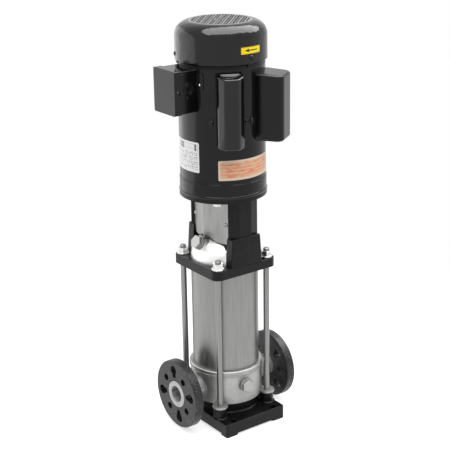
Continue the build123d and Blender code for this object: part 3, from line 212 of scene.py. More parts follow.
def drawn_cover_shade(tree):
    """Enamel over deep drawn sheet: the drawing leaves slow waves 15 mm across that the gloss shows
    at the edges of every reflection. The grille's bars are painted pale as a painted highlight."""
    haze = grain(tree, 40)
    waves = grain(tree, 15, 2.5)
    paint = ramp(tree, haze, 0.3, 0.7, linear("#070708"), linear("#0d0d0e"))
    return {
        # Painted highlight: the grille's bars, its middle ring and its rim are painted pale grey
        # #b4b4b2
        "Base Color": blend(tree, grille_dust(tree), paint, linear("#b4b4b2")),
        "Roughness": span(tree, haze, 0.09, 0.17),
        "Normal": relief(tree, waves, 0.9),
    }


drawn_cover = finish_of("enamel_on_drawn_cover", {"IOR": 1.42}, drawn_cover_shade)
cover_gloss = finish_of("full_gloss_cover_paint", {"IOR": 1.45}, enamel_shade)


def cast_shade(tree):
    """Sand cast iron under semi gloss paint: a grain of 2 mm, drawn deep enough to show."""
    coarse = grain(tree, 9, 4.0)
    return {
        "Base Color": ramp(tree, coarse, 0.3, 0.75, linear("#0b0b0c"), linear("#151516")),
        "Roughness": span(tree, coarse, 0.22, 0.4),
        "Normal": relief(tree, grain(tree, 2.2, 5.0), 0.16),
    }


cast_iron = finish_of("painted_cast_iron", {"IOR": 1.3}, cast_shade)


def flange_shade(tree):
    """Painted ductile iron with a rough cast skin, with small pale spots painted in as glints:
    painted highlights.
    """
    skin_grain = grain(tree, 2.6, 6.0)
    patches = grain(tree, 16, 3.0)
    # Painted highlight: small spots painted pale grey #7d7d7c stand for glints on the cast skin
    rubbed = product(tree, grain(tree, 3.2, 4.0), span(tree, patches, 0.75, 1.3))
    worn = ramp(tree, rubbed, 0.64, 0.74, linear("#000000"), linear("#ffffff"))
    paint = ramp(tree, patches, 0.35, 0.75, linear("#161617"), linear("#2c2c2d"))
    return {
        "Base Color": blend(tree, worn, paint, linear("#7d7d7c")),
        "Roughness": span(tree, patches, 0.26, 0.5),
        "Normal": relief(tree, skin_grain, 0.5),
    }


flange_iron = finish_of("rough_ductile_iron", {"IOR": 1.42}, flange_shade)


def blasted_shade(tree):
    """Bead blasted stainless: even fine pits, about 1 mm here so that they show, no direction."""
    return {
        "Base Color": ramp(
            tree, grain(tree, 25), 0.3, 0.7, linear("#9b9b9a"), linear("#acacab")
        ),
        "Roughness": span(tree, grain(tree, 4), 0.42, 0.52),
        "Normal": relief(tree, grain(tree, 1.1, 2.0), 0.03),
    }


blasted = finish_of("bead_blasted_stainless", {"Metallic": 1.0}, blasted_shade)


def drawn_shade(tree):
    """Drawn stainless tube: fine lines along the shaft, which smear its reflections."""
    lines = grain(tree, 1.2, 3.0, (1, 1, 0.02))
    return {
        "Base Color": ramp(tree, lines, 0.3, 0.7, linear("#80807f"), linear("#90908e")),
        "Roughness": span(tree, grain(tree, 3, 2.0, (1, 1, 0.05)), 0.34, 0.44),
        "Normal": relief(tree, lines, 0.006),
    }


drawn = finish_of("drawn_satin_stainless", {"Metallic": 1.0}, drawn_shade)


def pressed_shade(tree):
    """Bright annealed stainless sheet, pressed to shape, with faint rubbing."""
    rub = grain(tree, 12, 4.0, (1, 1, 0.25))
    return {
        "Base Color": ramp(tree, rub, 0.35, 0.7, linear("#8f8f8d"), linear("#9c9c9a")),
        "Roughness": span(tree, rub, 0.3, 0.42),
        "Normal": relief(tree, grain(tree, 6, 3.0), 0.02),
    }


pressed = finish_of("pressed_annealed_stainless", {"Metallic": 1.0}, pressed_shade)


def pickled_shade(tree):
    """Pickled stainless casting: nearly white and soft, with grains of about 2 mm."""
    cast = grain(tree, 6, 4.0)
    return {
        "Base Color": ramp(tree, cast, 0.3, 0.7, linear("#e2e2e0"), linear("#f2f2f0")),
        "Roughness": span(tree, grain(tree, 9), 0.38, 0.5),
        "Normal": relief(tree, grain(tree, 2, 3.0), 0.05),
    }


pickled = finish_of("pickled_cast_stainless", {"Metallic": 1.0}, pickled_shade)


def zinc_shade(tree):
    """Bright zinc plate on turned steel, with small dull spots."""
    return {
        "Base Color": ramp(tree, grain(tree, 3), 0.3, 0.7, linear("#cfcfce"), linear("#e6e6e5")),
        "Roughness": span(tree, grain(tree, 2), 0.2, 0.34),
    }


zinc = finish_of("bright_zinc_plate", {"Metallic": 1.0}, zinc_shade)


def turned_shade(tree):
    """Turned steel: rings left by the tool, 1 mm apart here so that they show."""
    place = add_node(tree, "ShaderNodeTexCoord").outputs["Object"]
    rings = add_node(
        tree,
        "ShaderNodeTexWave",
        {"bands_direction": "Z", "Scale": 300.0, "Distortion": 0.5},
        {"Vector": place},
    ).outputs["Fac"]
    return {
        "Base Color": ramp(tree, rings, 0.2, 0.8, linear("#9a9a99"), linear("#b0b0ae")),
        "Roughness": span(tree, rings, 0.25, 0.38),
    }


turned_steel = finish_of("turned_bright_steel", {"Metallic": 1.0}, turned_shade)


def rubber_shade(tree):
    """Moulded nitrile rubber: dull, with a fine skin."""
    return {
        "Base Color": ramp(tree, grain(tree, 2), 0.3, 0.7, linear("#151515"), linear("#1f1f1f")),
        "Normal": relief(tree, grain(tree, 1.0), 0.02),
    }


rubber = finish_of("moulded_nitrile_rubber", {"Roughness": 0.7, "IOR": 1.52}, rubber_shade)


def carbon_shade(tree):
    """Lapped carbon: a dark even face with a soft shine."""
    return {
        "Base Color": ramp(tree, grain(tree, 1.5), 0.3, 0.7, linear("#202021"), linear("#2c2c2d"))
    }


carbon = finish_of("lapped_carbon", {"Roughness": 0.4, "IOR": 1.6}, carbon_shade)


def copper_shade(tree):
    """Varnished magnet wire, with turns 2 mm apart here so that they show."""
    place = add_node(tree, "ShaderNodeTexCoord").outputs["Object"]
    turns = add_node(
        tree,
        "ShaderNodeTexWave",
        {"bands_direction": "Z", "Scale": 160.0, "Distortion": 2.0},
        {"Vector": place},
    ).outputs["Fac"]
    return {
        "Base Color": ramp(tree, turns, 0.2, 0.8, linear("#6e3a20"), linear("#b06a3c")),
        "Normal": relief(tree, turns, 0.3),
    }


copper = finish_of("varnished_copper_wire", {"Metallic": 1.0, "Roughness": 0.35}, copper_shade)


def moulded_shade(tree):
    """Moulded glass filled nylon: dull black with a fine grain."""
    return {
        "Base Color": ramp(tree, grain(tree, 3), 0.3, 0.7, linear("#17171a"), linear("#222225")),
        "Normal": relief(tree, grain(tree, 1.2), 0.03),
    }


moulded = finish_of("moulded_black_nylon", {"Roughness": 0.5, "IOR": 1.53}, moulded_shade)


def can_shade(tree):
    """Impact drawn aluminium can: pale, with faint lines along it."""
    lines = grain(tree, 1.5, 2.0, (1, 1, 0.05))
    return {"Base Color": ramp(tree, lines, 0.3, 0.7, linear("#bdbec0"), linear("#d2d3d5"))}


aluminium_can = finish_of("drawn_aluminium_can", {"Metallic": 1.0, "Roughness": 0.32}, can_shade)


def print_place(tree):
    """Across and up on a label, from 0 to 1, from its own UV map."""
    place = add_node(tree, "ShaderNodeUVMap", {"uv_map": "print"}).outputs["UV"]
    split = add_node(tree, "ShaderNodeSeparateXYZ", links={"Vector": place})
    return split.outputs["X"], split.outputs["Y"]


def speckled(tree, across, up_label, columns, rows, least):
    """1 in a random share of the cells of a grid over the label, so that rows look filled in."""
    cell = add_node(
        tree,
        "ShaderNodeCombineXYZ",
        links={
            "X": figure(tree, "FLOOR", product(tree, across, columns)),
            "Y": figure(tree, "FLOOR", product(tree, up_label, rows)),
        },
    ).outputs["Vector"]
    noise = add_node(tree, "ShaderNodeTexWhiteNoise", links={"Vector": cell}).outputs["Value"]
    return figure(tree, "GREATER_THAN", noise, least)


def plate_shade(tree):
    """A white data plate left blank: grey marks at its head, rows of grey cells, thin rules."""
    across, up_label = print_place(tree)
    inner = within(tree, across, 0.05, 0.94)
    rows = product(
        tree, row_line(tree, up_label, 13, 0.25, 0.7), within(tree, up_label, 0.05, 0.66)
    )
    filled = product(tree, rows, speckled(tree, across, up_label, 44, 13, 0.52), inner)
    marks = product(tree, inner, row_line(tree, across, 13, 0.12, 0.8))
    head = product(
        tree,
        within(tree, up_label, 0.72, 0.93),
        speckled(tree, across, up_label, 13, 1, 0.55),
        marks,
    )
    rule = product(tree, row_line(tree, up_label, 6.5, 0.0, 0.07), inner)
    colour = blend(tree, filled, linear("#f1f1f0"), linear("#a9a9aa"))
    colour = blend(tree, rule, colour, linear("#c2c2c3"))
    return {"Base Color": blend(tree, head, colour, linear("#59595b"))}


plate_print = finish_of("white_data_plate", {"Roughness": 0.35, "IOR": 1.5}, plate_shade)


def notice_shade(tree):
    """A cream notice with a salmon field of ruled rows inside its border."""
    across, up_label = print_place(tree)
    field = product(tree, within(tree, across, 0.035, 0.965), within(tree, up_label, 0.13, 0.9))
    stretched = add_node(
        tree,
        "ShaderNodeCombineXYZ",
        links={"X": product(tree, across, 9.0), "Y": product(tree, up_label, 7.0)},
    ).outputs["Vector"]
    streak = add_node(
        tree, "ShaderNodeTexNoise", {"Scale": 1.0, "Detail": 3.0}, {"Vector": stretched}
    ).outputs["Fac"]
    tone = ramp(tree, streak, 0.36, 0.64, linear("#ea8664"), linear("#e9b48e"))
    rows = product(
        tree,
        row_line(tree, up_label, 6, 0.0, 0.38),
        speckled(tree, across, up_label, 14, 6, 0.2),
    )
    tone = blend(tree, rows, tone, linear("#e6c3a2"))
    return {"Base Color": blend(tree, field, linear("#ecd3bc"), tone)}


notice_print = finish_of("salmon_notice_sheet", {"Roughness": 0.4, "IOR": 1.5}, notice_shade)


def strip_shade(tree):
    """A yellow vinyl strip, a little darker along its edge."""
    across, up_label = print_place(tree)
    middle = product(tree, within(tree, across, 0.03, 0.97), within(tree, up_label, 0.1, 0.9))
    return {"Base Color": blend(tree, middle, linear("#e8b800"), linear("#ffe60a"))}


strip_print = finish_of("yellow_vinyl_strip", {"Roughness": 0.4, "IOR": 1.5}, strip_shade)


def ink_shade(tree):
    """Dark brown ink with faint patches."""
    patches = grain(tree, 3)
    return {"Base Color": ramp(tree, patches, 0.3, 0.7, linear("#241505"), linear("#3a220a"))}


arrow_ink = finish_of("dark_arrow_ink", {"Roughness": 0.5, "IOR": 1.5}, ink_shade)


# Mesh makers

LABEL_COLUMNS = 49
LABEL_ROOT = 0.2  # how deep the rim of a label stands in the wall, in millimetres
MERGE = 0.000005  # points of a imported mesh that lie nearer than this, in metres, are one
WHOLE_TURN = 2 * np.pi


def woven(name, grids, loop):
    """A mesh from grids of points in millimetres, each rows by columns by 3: every cell between
    four neighbours becomes a face, and loop says whether rows or columns close on themselves."""
    points, faces, first = [], [], 0
    for grid in grids:
        rows, columns = grid.shape[:2]
        index = np.arange(rows * columns).reshape(rows, columns) + first
        if loop[0]:
            index = np.vstack([index, index[:1]])
        if loop[1]:
            index = np.hstack([index, index[:, :1]])
        corners = [index[:-1, :-1], index[1:, :-1], index[1:, 1:], index[:-1, 1:]]
        faces.append(np.stack(corners, -1).reshape(-1, 4))
        points.append(grid.reshape(-1, 3) * MM)
        first += rows * columns
    mesh = bpy.data.meshes.new(name)
    mesh.from_pydata(np.concatenate(points).tolist(), [], np.concatenate(faces).tolist())
    return mesh


def skin(name, grids, material, body, nodes=(), sharp=32.0, loop=(True, False)):
    """One piece woven from grids. The doubles are merged, the normals turned outwards, and edges
    sharper than the angle stay crisp."""
    mesh = woven(name, grids, loop)
    tidy = bmesh.new()
    tidy.from_mesh(mesh)
    bmesh.ops.remove_doubles(tidy, verts=tidy.verts, dist=2 * MERGE)
    bmesh.ops.recalc_face_normals(tidy, faces=tidy.faces)
    tidy.to_mesh(mesh)
    tidy.free()
    return settle(name, mesh, material, body, nodes, sharp)


def settle(name, mesh, material, body, nodes, sharp):
    """The object for a mesh at the origin, shaded smooth, riding on its body with its finish."""
    mesh.shade_smooth()
    mesh.set_sharp_from_angle(angle=np.radians(sharp))
    mesh.materials.clear()
    mesh.materials.append(material)
    piece = bpy.data.objects.new(name, mesh)
    bpy.context.scene.collection.objects.link(piece)
    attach(piece, body)
    if nodes:
        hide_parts(*nodes)
    return piece


def rounded(corners, steps=5):
    """An open outline of points in which each corner is given with its own round: (across, along,
    round). Around each corner runs the quadratic curve between the two points that lie one round
    away from it on its two runs."""
    corners = np.array(corners, float)
    place, size = corners[:, :2], corners[:, 2:]
    before = np.vstack([place[:1], place[:-1]]) - place
    after = np.vstack([place[1:], place[-1:]]) - place
    runs = []
    for way in (before, after):
        length = np.maximum(np.linalg.norm(way, axis=1, keepdims=True), 1e-9)
        runs.append(place + way / length * np.minimum(size, length / 2))
    start, end = runs
    part = np.linspace(0, 1, steps)[None, :, None]
    curve = (
        (1 - part) ** 2 * start[:, None]
        + 2 * part * (1 - part) * place[:, None]
        + part**2 * end[:, None]
    )
    return curve.reshape(-1, 2)


def turned(outline, count=128):
    """A grid turned about Z: the outline's first number is the radius and its second the height,
    and the point at angle t is (radius cos t, radius sin t, height)."""
    angle = np.linspace(0, WHOLE_TURN, count, endpoint=False)[:, None]
    radius, height = outline[:, 0][None], outline[:, 1][None]
    return np.stack(
        [radius * np.cos(angle), radius * np.sin(angle), height + 0 * angle], -1
    )


def placed(grid, origin, out, across=(0, 0, 1)):
    """A grid made along Z, moved to origin with its Z along out and its X near across."""
    out = np.array(out, float) / np.linalg.norm(out)
    side = np.array(across, float) - np.dot(across, out) * out
    side /= np.linalg.norm(side)
    axes = np.stack([side, np.cross(out, side), out])
    return grid @ axes + np.array(origin, float)


def label(name, radius, turns, levels, corner, thick, material, slot):
    """A thin sheet round the motor's axis. At the shares s and t the point stands at the angle and
    height between the limits. Near the ends of t its ends are drawn in by corner minus the root of
    corner squared less the rest of the way squared, which rounds the corners, and a rim of points
    one thickness deeper closes it on the wall. The shares become its UV map."""
    bow = np.linspace(0, np.pi / 2, 6)
    total = levels[1] - levels[0]
    low_end, drawn_in = corner * (1 - np.cos(bow)), corner * (1 - np.sin(bow))
    height = np.concatenate([low_end, (total - low_end)[::-1]])
    inset = np.concatenate([drawn_in, drawn_in[::-1]])
    length = np.radians(turns[1] - turns[0]) * radius
    share = np.linspace(1, 0, LABEL_COLUMNS)[None]
    along = inset[:, None] + share * (length - 2 * inset[:, None])
    along, up_wall = np.pad(along, 1, "edge"), np.pad(height[:, None] + 0 * share, 1, "edge")
    face = np.full((height.size, LABEL_COLUMNS), radius + thick)
    reach = np.pad(face, 1, constant_values=radius - LABEL_ROOT)
    turn = np.radians(turns[0]) + along / radius
    grid = np.stack([reach * np.cos(turn), reach * np.sin(turn), levels[0] + up_wall], -1)
    mesh = woven(name, [grid], (False, False))
    shares = np.stack([1 - along / length, up_wall / total], -1).reshape(-1, 2)
    corners = np.empty(len(mesh.loops), np.int32)
    mesh.loops.foreach_get("vertex_index", corners)
    print_map = mesh.uv_layers.new(name="print")
    print_map.data.foreach_set("uv", shares[corners].astype(np.float32).ravel())
    return settle(name, mesh, material, "pump", (), 40.0)


def islands(node):
    """The separate pieces of a CAD node as arrays of points in millimetres: each point takes the
    lowest number among its neighbours until nothing changes."""
    mesh = frame["nodes"][node].data.copy()
    tidy = bmesh.new()
    tidy.from_mesh(mesh)
    bmesh.ops.remove_doubles(tidy, verts=tidy.verts, dist=MERGE)
    tidy.to_mesh(mesh)
    tidy.free()
    points = np.empty(len(mesh.vertices) * 3, np.float32)
    mesh.vertices.foreach_get("co", points)
    edges = np.empty(len(mesh.edges) * 2, np.int32)
    mesh.edges.foreach_get("vertices", edges)
    points, edges = points.reshape(-1, 3) / MM, edges.reshape(-1, 2)
    group = np.arange(len(points))
    while True:
        least = np.minimum(group[edges[:, 0]], group[edges[:, 1]])
        before = group.copy()
        np.minimum.at(group, edges[:, 0], least)
        np.minimum.at(group, edges[:, 1], least)
        if (group == before).all():
            return [points[group == number] for number in np.unique(group)]


def pan_head(radius, height, cross=0.5, deep=0.45):
    """A domed screw head: at the share r of the radius its height is height times 1.1 less r to
    the power 2.6, less a cross whose arms reach this share of the radius and are sunk by deep
    times height. A rim straight below the edge closes it on the wall."""
    share = np.concatenate([[0], np.linspace(0.05, 0.62, 13), [0.72, 0.82, 0.9, 0.96, 1.0]])[None]
    angle = np.linspace(0, WHOLE_TURN, 64, endpoint=False)[:, None]
    x, y = share * np.cos(angle), share * np.sin(angle)
    arm = np.minimum(np.abs(x), np.abs(y))
    inside = np.clip((0.13 - arm) / 0.05, 0, 1) * np.clip((cross - share) / 0.08, 0, 1)
    rise = height * (1 - share**2.6) + height * 0.1
    level = rise - deep * height * inside * (1 - 0.7 * share)
    grid = np.stack([radius * x, radius * y, level], -1)
    rim = grid[:, -1:] * (1, 1, 0) - (0, 0, 0.4)
    return np.concatenate([grid, rim], 1)


def screw_heads(node, name, material, way_out, tall):
    """Domed heads with a cross in place of a node's plain ones. Way_out gives the direction out of
    the wall at a piece's middle; the head stands on the node's own head, less its height."""
    grids = []
    for number, points in enumerate(islands(node)):
        middle = (points.max(0) + points.min(0)) / 2
        out = np.array(way_out(middle), float)
        out /= np.linalg.norm(out)
        along = points @ out
        top = along.max()
        across = points - along[:, None] * out
        centre = (across.max(0) + across.min(0)) / 2
        centre -= centre @ out * out
        radius = np.linalg.norm(across - centre, axis=1).max()
        spin = np.radians(37.0 * number)
        aside = np.cross(out, (0.0, 0.0, 1.0))
        tilt = np.cos(spin) * np.array((0, 0, 1.0)) + np.sin(spin) * aside
        foot = centre + out * (top - 1.1 * tall)
        grids.append(placed(pan_head(radius * 0.96, tall), foot, out, tilt))
    return skin(name, grids, material, "pump", (node,), 50.0)


def tube(path, radius, count=10, closed=True):
    """A round bead along a path of points: at each point a ring of this radius stands across the
    path's direction there, which is the difference of its neighbours. The ring starts square to a
    slanted direction that no path takes."""
    path = np.array(path, float)
    if closed:
        way = np.roll(path, -1, 0) - np.roll(path, 1, 0)
    else:
        way = np.gradient(path, axis=0)
    way /= np.linalg.norm(way, axis=1, keepdims=True)
    slanted = (0.123, 0.231, 0.965)
    side = np.cross(way, slanted)
    side /= np.linalg.norm(side, axis=1, keepdims=True)
    over = np.cross(way, side)
    angle = np.linspace(0, WHOLE_TURN, count, endpoint=False)[None, :, None]
    ring = np.cos(angle) * side[:, None] + np.sin(angle) * over[:, None]
    return path[:, None] + radius * ring


def dressed(node, name, material, body, slot, bevel, angle=38.0, flat=1.0, width=1.0):
    """A copy of a CAD node with its loose triangles merged and faces that differ by less than flat
    degrees joined, so that it shades smoothly, and with a small bevel on the edges sharper than
    angle, as a casting or folded sheet has. Width under 1 draws it in along Y where the bevel would
    leave the CAD model's box."""
    mesh = frame["nodes"][node].data.copy()
    mesh.name = name
    tidy = bmesh.new()
    tidy.from_mesh(mesh)
    bmesh.ops.remove_doubles(tidy, verts=tidy.verts, dist=MERGE)
    if flat:
        bmesh.ops.dissolve_limit(
            tidy, angle_limit=np.radians(flat), verts=tidy.verts, edges=tidy.edges
        )
    tidy.to_mesh(mesh)
    tidy.free()
    mesh.transform(Matrix.Diagonal((1, width, 1, 1)))
    piece = settle(name, mesh, material, body, (node,), 30.0)
    if bevel:
        edge = piece.modifiers.new("worn_edges", "BEVEL")
        edge.width = bevel * MM
        edge.segments = 2
        edge.limit_method = "ANGLE"
        edge.angle_limit = np.radians(angle)
        edge.use_clamp_overlap = True
        edge.loop_slide = False
        even = piece.modifiers.new("even_faces", "WEIGHTED_NORMAL")
        even.keep_sharp = True
    return piece


def slot_of(node):
    """The record's material slot of a CAD node."""
    parts = frame["record"]["subparts"]
    return next(part["material_slot"] for part in parts if part["node"] == node)


# Every CAD node first gets the finish of its slot; the visible ones are then replaced or dressed

finish_by_slot = {
    "cast_black": cast_iron,
    "enamel_black": enamel,
    "stainless_blasted": blasted,
    "stainless_satin": drawn,
    "stainless_cast": pickled,
    "zinc_steel": zinc,
    "machined_steel": turned_steel,
    "seal_rubber": rubber,
    "hard_carbon": carbon,
    "winding_copper": copper,
    "moulded_plastic": moulded,
    "can_aluminium": aluminium_can,
}
for node_name, node_object in frame["nodes"].items():
    node_object.data.materials.clear()
    node_object.data.materials.append(finish_by_slot[slot_of(node_name)])

# Camera at the photograph's place

AIM_HEIGHT = 350
DISTANCE, SHIFT_RIGHT, SHIFT_UP = 2387.6, 1.27, 54.2
azimuth, pitch, roll = np.radians([-36.0, 19.29, -0.93])
back = np.array(
    [np.sin(azimuth) * np.cos(pitch), -np.cos(azimuth) * np.cos(pitch), np.sin(pitch)]
)
level_right = np.array([np.cos(azimuth), np.sin(azimuth), 0.0])
level_up = np.cross(back, level_right)
level_back = np.array([np.sin(azimuth), -np.cos(azimuth), 0.0])
right = level_right * np.cos(roll) + level_up * np.sin(roll)
up = -level_right * np.sin(roll) + level_up * np.cos(roll)
eye = np.array([0, 0, AIM_HEIGHT]) + back * DISTANCE + right * SHIFT_RIGHT + up * SHIFT_UP
camera = bpy.data.objects.new("camera", bpy.data.cameras.new("camera"))
camera.data.lens = 96
camera.data.sensor_width = 36
camera.data.clip_end = 50
camera.matrix_world = Matrix(
    [[right[i], up[i], back[i], eye[i] * MM] for i in range(3)] + [[0, 0, 0, 1]]
)
bpy.context.scene.collection.objects.link(camera)
bpy.context.scene.camera = camera
bpy.context.scene.view_settings.view_transform = "Standard"

# The visible parts of the pump

PIPE_LEVEL = 75  # height of the pipe's axis
PORT_BORE = 24.2  # a little over the radius of the bore in a port
STUB_START = 96  # how far from the shaft the port stubs begin to stand clear

for flange in ("inlet_flange", "outlet_flange"):
    dressed(flange, f"{flange}_cast", flange_iron, flange, "cast_black", 0.5)
dressed("base_plate", "base_plate_cast", cast_iron, "pump", "cast_black", 1.2, width=0.999)
chamber = dressed("pump_chamber", "pump_chamber_blasted", blasted, "pump", "stainless_blasted", 0.4)
# Painted light: faces in the port bores take the paler pickled finish, which stands for the light
# falling into them
chamber.data.materials.append(pickled)
for face in chamber.data.polygons:
    spot = face.center / MM
    in_bore = (spot.y**2 + (spot.z - PIPE_LEVEL) ** 2) ** 0.5 < PORT_BORE
    if abs(spot.x) > STUB_START and in_bore and abs(face.normal.x) < 0.95:
        face.material_index = 1
dressed("pump_head", "pump_head_pickled", pickled, "pump", "stainless_cast", 0.5)
dressed("motor_stool", "motor_stool_cast", cast_iron, "pump", "cast_black", 1.2)
for way in ("inlet", "outlet"):
    guard = (f"guard_{way}_side", f"guard_{way}_pressed")
    dressed(*guard, pressed, "pump", "stainless_satin", 1.0, angle=20)
dressed("lower_end_bell", "lower_end_bell_cast", enamel, "pump", "cast_black", 0.6)
dressed("upper_end_bell", "upper_end_bell_cast", cast_iron, "pump", "cast_black", 0.5)
dressed("fan_cover", "fan_cover_enamelled", drawn_cover, "pump", "enamel_black", 0, flat=0)
dressed("motor_frame", "motor_frame_enamelled", enamel, "pump", "enamel_black", 0)
dressed("conduit_box", "conduit_box_enamelled", enamel, "pump", "enamel_black", 0.5)
dressed("conduit_cover", "conduit_cover_enamelled", enamel, "pump", "enamel_black", 0.8)
dressed("run_capacitor_cover", "run_cover_enamelled", enamel, "pump", "enamel_black", 0.4)
dressed("outer_sleeve", "outer_sleeve_drawn", drawn, "pump", "stainless_satin", 0)
dressed("priming_plug", "priming_plug_turned", blasted, "pump", "stainless_cast", 0.4)
dressed("drain_plug", "drain_plug_turned", blasted, "pump", "stainless_cast", 0.4)
dressed("staybolt_nuts", "staybolt_nuts_plated", zinc, "pump", "zinc_steel", 0.5)
dressed("staybolts", "staybolts_drawn", drawn, "pump", "stainless_satin", 0.3)

# Labels, screw heads, beads and marks that the CAD model leaves out

# Outer radii of the motor's frame, of its lower bell and of the fan cover
frame_wall, bell_wall, cover_wall = 83.5, 84.7, 87.5
STOOL_TOP = 480

# Each label has its radius, its limits in degrees, its limits in height, corner and thickness
plate = ("data_plate", frame_wall, (150, 202), (536, 595), 3, 0.3, plate_print)
notice = ("notice_sheet", frame_wall, (228, 311), (524, 563), 3, 0.25, notice_print)
strip = ("arrow_strip", cover_wall, (258.5, 288), (761.5, 774.5), 1, 0.2, strip_print)
for sheet in (plate, notice, strip):
    label(*sheet, "moulded_plastic")


def arrow(name, radius, turns, level, half, head):
    """A flat arrow round the axis, pointed at its start: at the share s of its length its half
    width is 3.2 times half times s over head as far as head, then half, and from the share 0.86
    on four fifths of half. Its two long edges lie 0.15 mm deeper than its middle."""
    shaft = np.linspace(head + 0.02, 0.9, 16)
    share = np.concatenate([np.linspace(0, head, 6), [head + 0.001], shaft])
    width = np.where(share <= head, 3.2 * half * share / head, half)
    width = width * np.where(share > 0.86, 0.8, 1.0)
    turn = np.radians(turns[0] + (turns[1] - turns[0]) * share)[:, None]
    side = np.array([-1.0, -0.4, 0.4, 1.0])[None]
    reach = radius + 0.3 - 0.15 * (np.abs(side) > 0.9)
    grid = np.stack(
        [reach * np.cos(turn), reach * np.sin(turn), level + width[:, None] * side + 0 * turn], -1
    )
    return skin(name, [grid], arrow_ink, "pump", (), 60.0, (False, False))


arrow("turning_arrow", cover_wall, (263, 285), 768, 1.3, 0.3)


def radial(middle):
    """Level and straight away from the motor's axis, or sideways on the conduit box's walls, or
    square to the guards' sloping sheets."""
    if middle[2] < STOOL_TOP:
        return (np.sign(middle[0]) * 55.5, np.sign(middle[1]) * 19.0, 0.0)
    if middle[0] < -95 and abs(middle[1]) < 45:
        return (0.0, np.sign(middle[1]), 0.0)
    return (middle[0], middle[1], 0.0)


pan_heads = screw_heads("pan_screws", "pan_heads_painted", enamel, radial, 2.6)
pan_heads.data.materials.append(pressed)
for face in pan_heads.data.polygons:
    face.material_index = int(face.center.z < STOOL_TOP * MM)
screw_heads("fan_cover_screws", "fan_cover_heads_painted", enamel, radial, 2.2)


def hoop(radius, level, thick):
    """A round bead of this radius of section round the shaft's axis."""
    turn = np.linspace(0, WHOLE_TURN, 160, endpoint=False)
    path = np.stack([radius * np.cos(turn), radius * np.sin(turn), level + 0 * turn], -1)
    return tube(path, thick, 8)


motor_beads = [
    hoop(frame_wall + 0.1, 515.3, 0.6),
    hoop(bell_wall - 2.2, 488.6, 3.6),
]
skin("motor_beads", motor_beads, enamel, "pump", (), 60.0, (True, True))


def root_weld(side, reach, wall, level, thick):
    """The weld bead at the foot of a port: the curve where a cylinder of the port's radius along X
    meets the chamber's round wall, x being the root of wall squared less reach squared cosine
    squared of the angle."""
    turn = np.linspace(0, WHOLE_TURN, 96, endpoint=False)
    y = reach * np.cos(turn)
    path = np.stack([side * np.sqrt(wall**2 - y**2), y, level + reach * np.sin(turn)], -1)
    return tube(path, thick, 8)


welds = [root_weld(side, 25.2, 72.8, PIPE_LEVEL, 1.3) for side in (-1, 1)]
welds += [hoop(72.7, 108.4, 0.5), hoop(74.2, 112.6, 0.5)]
skin("chamber_beads", welds, blasted, "pump", (), 60.0, (True, True))


def port_rims():
    """Bright edges of the two port stubs: round beads of radius 0.6 mm along rim and bore, whose
    path at the angle t is (face, reach cos t, pipe's level plus reach sin t)."""
    face, bead = 124.38, 0.6
    turn = np.linspace(0, WHOLE_TURN, 96, endpoint=False)
    rims = []
    for side in (-1, 1):
        for reach in (27.0, 22.9):
            y, z = reach * np.cos(turn), PIPE_LEVEL + reach * np.sin(turn)
            rims.append(tube(np.stack([side * face + 0 * turn, y, z], -1), bead, 8))
    return rims


skin("port_rims", port_rims(), pickled, "pump", (), 60.0, (True, True))


def foot_fillet(radius, place, level, round_of):
    """A hollow fillet round the foot of a boss: at the angle a from 0 to 90 degrees its section is
    radius plus round times one less sine a, and level plus round times one less cosine a. Its two
    ends run into the plate and into the boss."""
    sweep = np.linspace(0, np.pi / 2, 7)
    outline = np.stack(
        [radius + round_of * (1 - np.sin(sweep)), level + round_of * (1 - np.cos(sweep))], -1
    )
    outline = np.vstack([[radius + round_of, level - 1], outline, [radius - 0.5, level + round_of]])
    return turned(outline, 64) + np.array([place[0], place[1], 0.0])


PLATE_LEVEL = 28
ROD_PLACE = 59.1
rods = [(x, y) for x in (-ROD_PLACE, ROD_PLACE) for y in (-ROD_PLACE, ROD_PLACE)]
fillets = [foot_fillet(13.4, rod, PLATE_LEVEL, 3.0) for rod in rods]
fillets.append(foot_fillet(67, (0, 0), PLATE_LEVEL, 3.5))
skin("foot_fillets", fillets, cast_iron, "pump", (), 60.0)


def box_marks():
    """On the conduit box's near wall: a knockout's round groove and its middle, and two low ribs,
    all round beads. The rings' path at the angle t is (x plus r cos t, wall, z plus r sin t)."""
    wall_y, middle_x, middle_z = -32.7, -99, 701
    turn = np.linspace(0, WHOLE_TURN, 48, endpoint=False)
    rings = [
        np.stack([middle_x + r * np.cos(turn), wall_y + 0 * turn, middle_z + r * np.sin(turn)], -1)
        for r in (10.5, 6.5)
    ]
    lines = [
        np.stack([np.linspace(-117, -94, 12), np.full(12, wall_y), np.full(12, level)], -1)
        for level in (662, 667)
    ]
    return [tube(path, 0.7, 8) for path in rings], [tube(path, 0.6, 8, False) for path in lines]


knockout, ribs = box_marks()
skin("box_knockout", knockout, enamel, "pump", (), 60.0, (True, True))
skin("box_ribs", ribs, enamel, "pump", (), 60.0, (False, True))
box_screw_spots = ((-112, 727, 2.6), (-101, 684, 2.2))
box_screws = [
    placed(pan_head(size, 1.4), (x, -32.6, z), (0, -1, 0)) for x, z, size in box_screw_spots
]
skin("box_small_screws", box_screws, enamel, "pump", (), 50.0)

label("earth_tab", frame_wall, (200.5, 210.5), (694, 728), 4.5, 1.6, enamel, "enamel_black")
earth = np.radians(205.5)
earth_out = np.array([np.cos(earth), np.sin(earth), 0.0])
earth_foot = earth_out * (frame_wall + 1.6) + (0, 0, 706)
earth_head = placed(pan_head(2.1, 1.4), earth_foot, earth_out)
skin("earth_screw", [earth_head], zinc, "pump", (), 50.0)
label("drain_slot", bell_wall, (177, 187.5), (488.5, 492.5), 1.5, 0.15, rubber, "seal_rubber")
label("start_ears", frame_wall, (216, 271), (592, 642), 4, 1.0, enamel, "enamel_black")
label("start_back", frame_wall, (224.5, 262.5), (589, 728), 4, 2.2, enamel, "enamel_black")


def box_of(node):
    """The two corners of a CAD node's box in millimetres."""
    points = np.concatenate(islands(node))
    return points.min(0), points.max(0)


